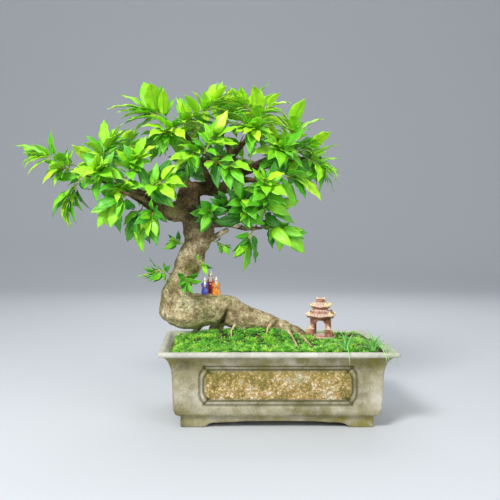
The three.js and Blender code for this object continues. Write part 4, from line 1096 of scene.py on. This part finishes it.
# Shortest and longest in millimetres, least and most lean, least and most droop of the blades
STANDING = ((38, 70), (0.1, 0.6), (0.8, 1.9))
HANGING = ((70, 84), (0.15, 0.3), (3.0, 3.5))
BLADE_HALF = 2.1 * MM
BLADE_THICKNESS = 0.3 * MM
blade_pattern, grass_share, grass_side, grass_lift = sheet_pattern("blade_pattern", 9, 2, "tone")
grass_bm = bmesh.new()
draw = random.Random(12)
for place, blades, hanging in GRASS_TUFTS:
    for k in range(blades):
        heading = 2 * math.pi * (k + draw.random()) / blades
        over_rim = k < hanging
        if over_rim:
            heading = -math.pi / 2 + draw.uniform(-0.45, 0.6)
        lengths, leans, droops = HANGING if over_rim else STANDING
        length = draw.uniform(*lengths) * MM
        lean = draw.uniform(*leans)
        droop = draw.uniform(*droops)
        if not over_rim and math.sin(heading) < -0.3:
            lean, droop = lean * 0.5, droop * 0.6
        foot = pot_middle + (place + Vector((draw.uniform(-7, 7), draw.uniform(-5, 7), 2))) * MM
        half = BLADE_HALF * (1 - grass_share ** 2.2) + 0.1 * MM
        spots = arched(foot, heading, lean, droop, length, half, grass_share, grass_side, grass_lift,
                       BLADE_THICKNESS, 0.45)
        pour(grass_bm, blade_pattern, spots, tone=draw.random())
grass = new_piece("grass_blades", grass_bm, "grass", "grass_tuft")

# Grass blades are soft and half matt, from deep to pale green with age.
grass_material, tree, shader = new_material("grass_blade", Roughness=0.5)
tone_socket = add(tree, "ShaderNodeAttribute", attribute_name="tone").outputs["Fac"]
grass_tone = add(tree, "ShaderNodeValToRGB", {"Fac": tone_socket}, [
    (0.0, "#48aa40"), (0.5, "#86d862"), (1.0, "#c8f49c")])
tree.links.new(grass_tone.outputs[0], shader.inputs["Base Color"])
grass.data.materials.append(grass_material)


# Studio. A pale floor that curves up into a pale wall, a strong soft light at the upper left, a weaker
# one at the right and one behind. The sizes and places here are in metres.
FLOOR_HALF = 9
WALL_CURVE = 3
CURVE_START = 4
WALL_RISE = 5
LIT_PLACE = Vector((0, 0, 0.45))


def drawn_out(bm, edges, way):
    """Extrudes the edges that way and gives the new ones."""
    made = bmesh.ops.extrude_edge_only(bm, edges=edges)["geom"]
    verts = [part for part in made if isinstance(part, bmesh.types.BMVert)]
    bmesh.ops.translate(bm, vec=way, verts=verts)
    return [part for part in made if isinstance(part, bmesh.types.BMEdge)
            and all(end in verts for end in part.verts)]


floor_bm = bmesh.new()
front_ends = [floor_bm.verts.new((sx * FLOOR_HALF, -FLOOR_HALF, 0)) for sx in (-1, 1)]
front_edge = floor_bm.edges.new(front_ends)
back_edge = drawn_out(floor_bm, [front_edge], (0, FLOOR_HALF + CURVE_START, 0))
curved = bmesh.ops.spin(floor_bm, geom=back_edge, cent=(0, CURVE_START, WALL_CURVE), axis=(1, 0, 0),
                        angle=math.pi / 2, steps=12)
wall_foot = [part for part in curved["geom_last"] if isinstance(part, bmesh.types.BMEdge)]
drawn_out(floor_bm, wall_foot, (0, 0, WALL_RISE))
floor_mesh = bpy.data.meshes.new("studio_floor")
bmesh.ops.remove_doubles(floor_bm, verts=floor_bm.verts, dist=MM)
bmesh.ops.recalc_face_normals(floor_bm, faces=floor_bm.faces)
floor_bm.to_mesh(floor_mesh)
floor_bm.free()
floor = bpy.data.objects.new("studio_floor", floor_mesh)
bpy.context.scene.collection.objects.link(floor)
for polygon in floor_mesh.polygons:
    polygon.use_smooth = True

# Matt paper backdrop, pale grey.
floor_material, tree, shader = new_material("pale_paper", Roughness=0.8)
shader.inputs["Base Color"].default_value = linear("#cdd1d5")
floor.data.materials.append(floor_material)


def area_light(name, place, size, power):
    """A square soft light that looks at the tree's middle."""
    data = bpy.data.lights.new(name, "AREA")
    data.size = size
    data.energy = power
    light = bpy.data.objects.new(name, data)
    light.location = place
    light.rotation_euler = (LIT_PLACE - light.location).to_track_quat("-Z", "Y").to_euler()
    bpy.context.scene.collection.objects.link(light)


area_light("key_light", Vector((-1.4, -2.6, 2.7)), 1.0, 135)
area_light("fill_light", Vector((2.2, -2.8, 1.3)), 2.2, 38)
area_light("back_light", Vector((0.6, 2.6, 2.8)), 3.0, 42)
world = bpy.data.worlds.new("studio")
world.use_nodes = True
world.node_tree.nodes["Background"].inputs["Color"].default_value = linear("#eef2f7")
world.node_tree.nodes["Background"].inputs["Strength"].default_value = 0.5
bpy.context.scene.world = world
bpy.context.scene.view_settings.view_transform = "Standard"
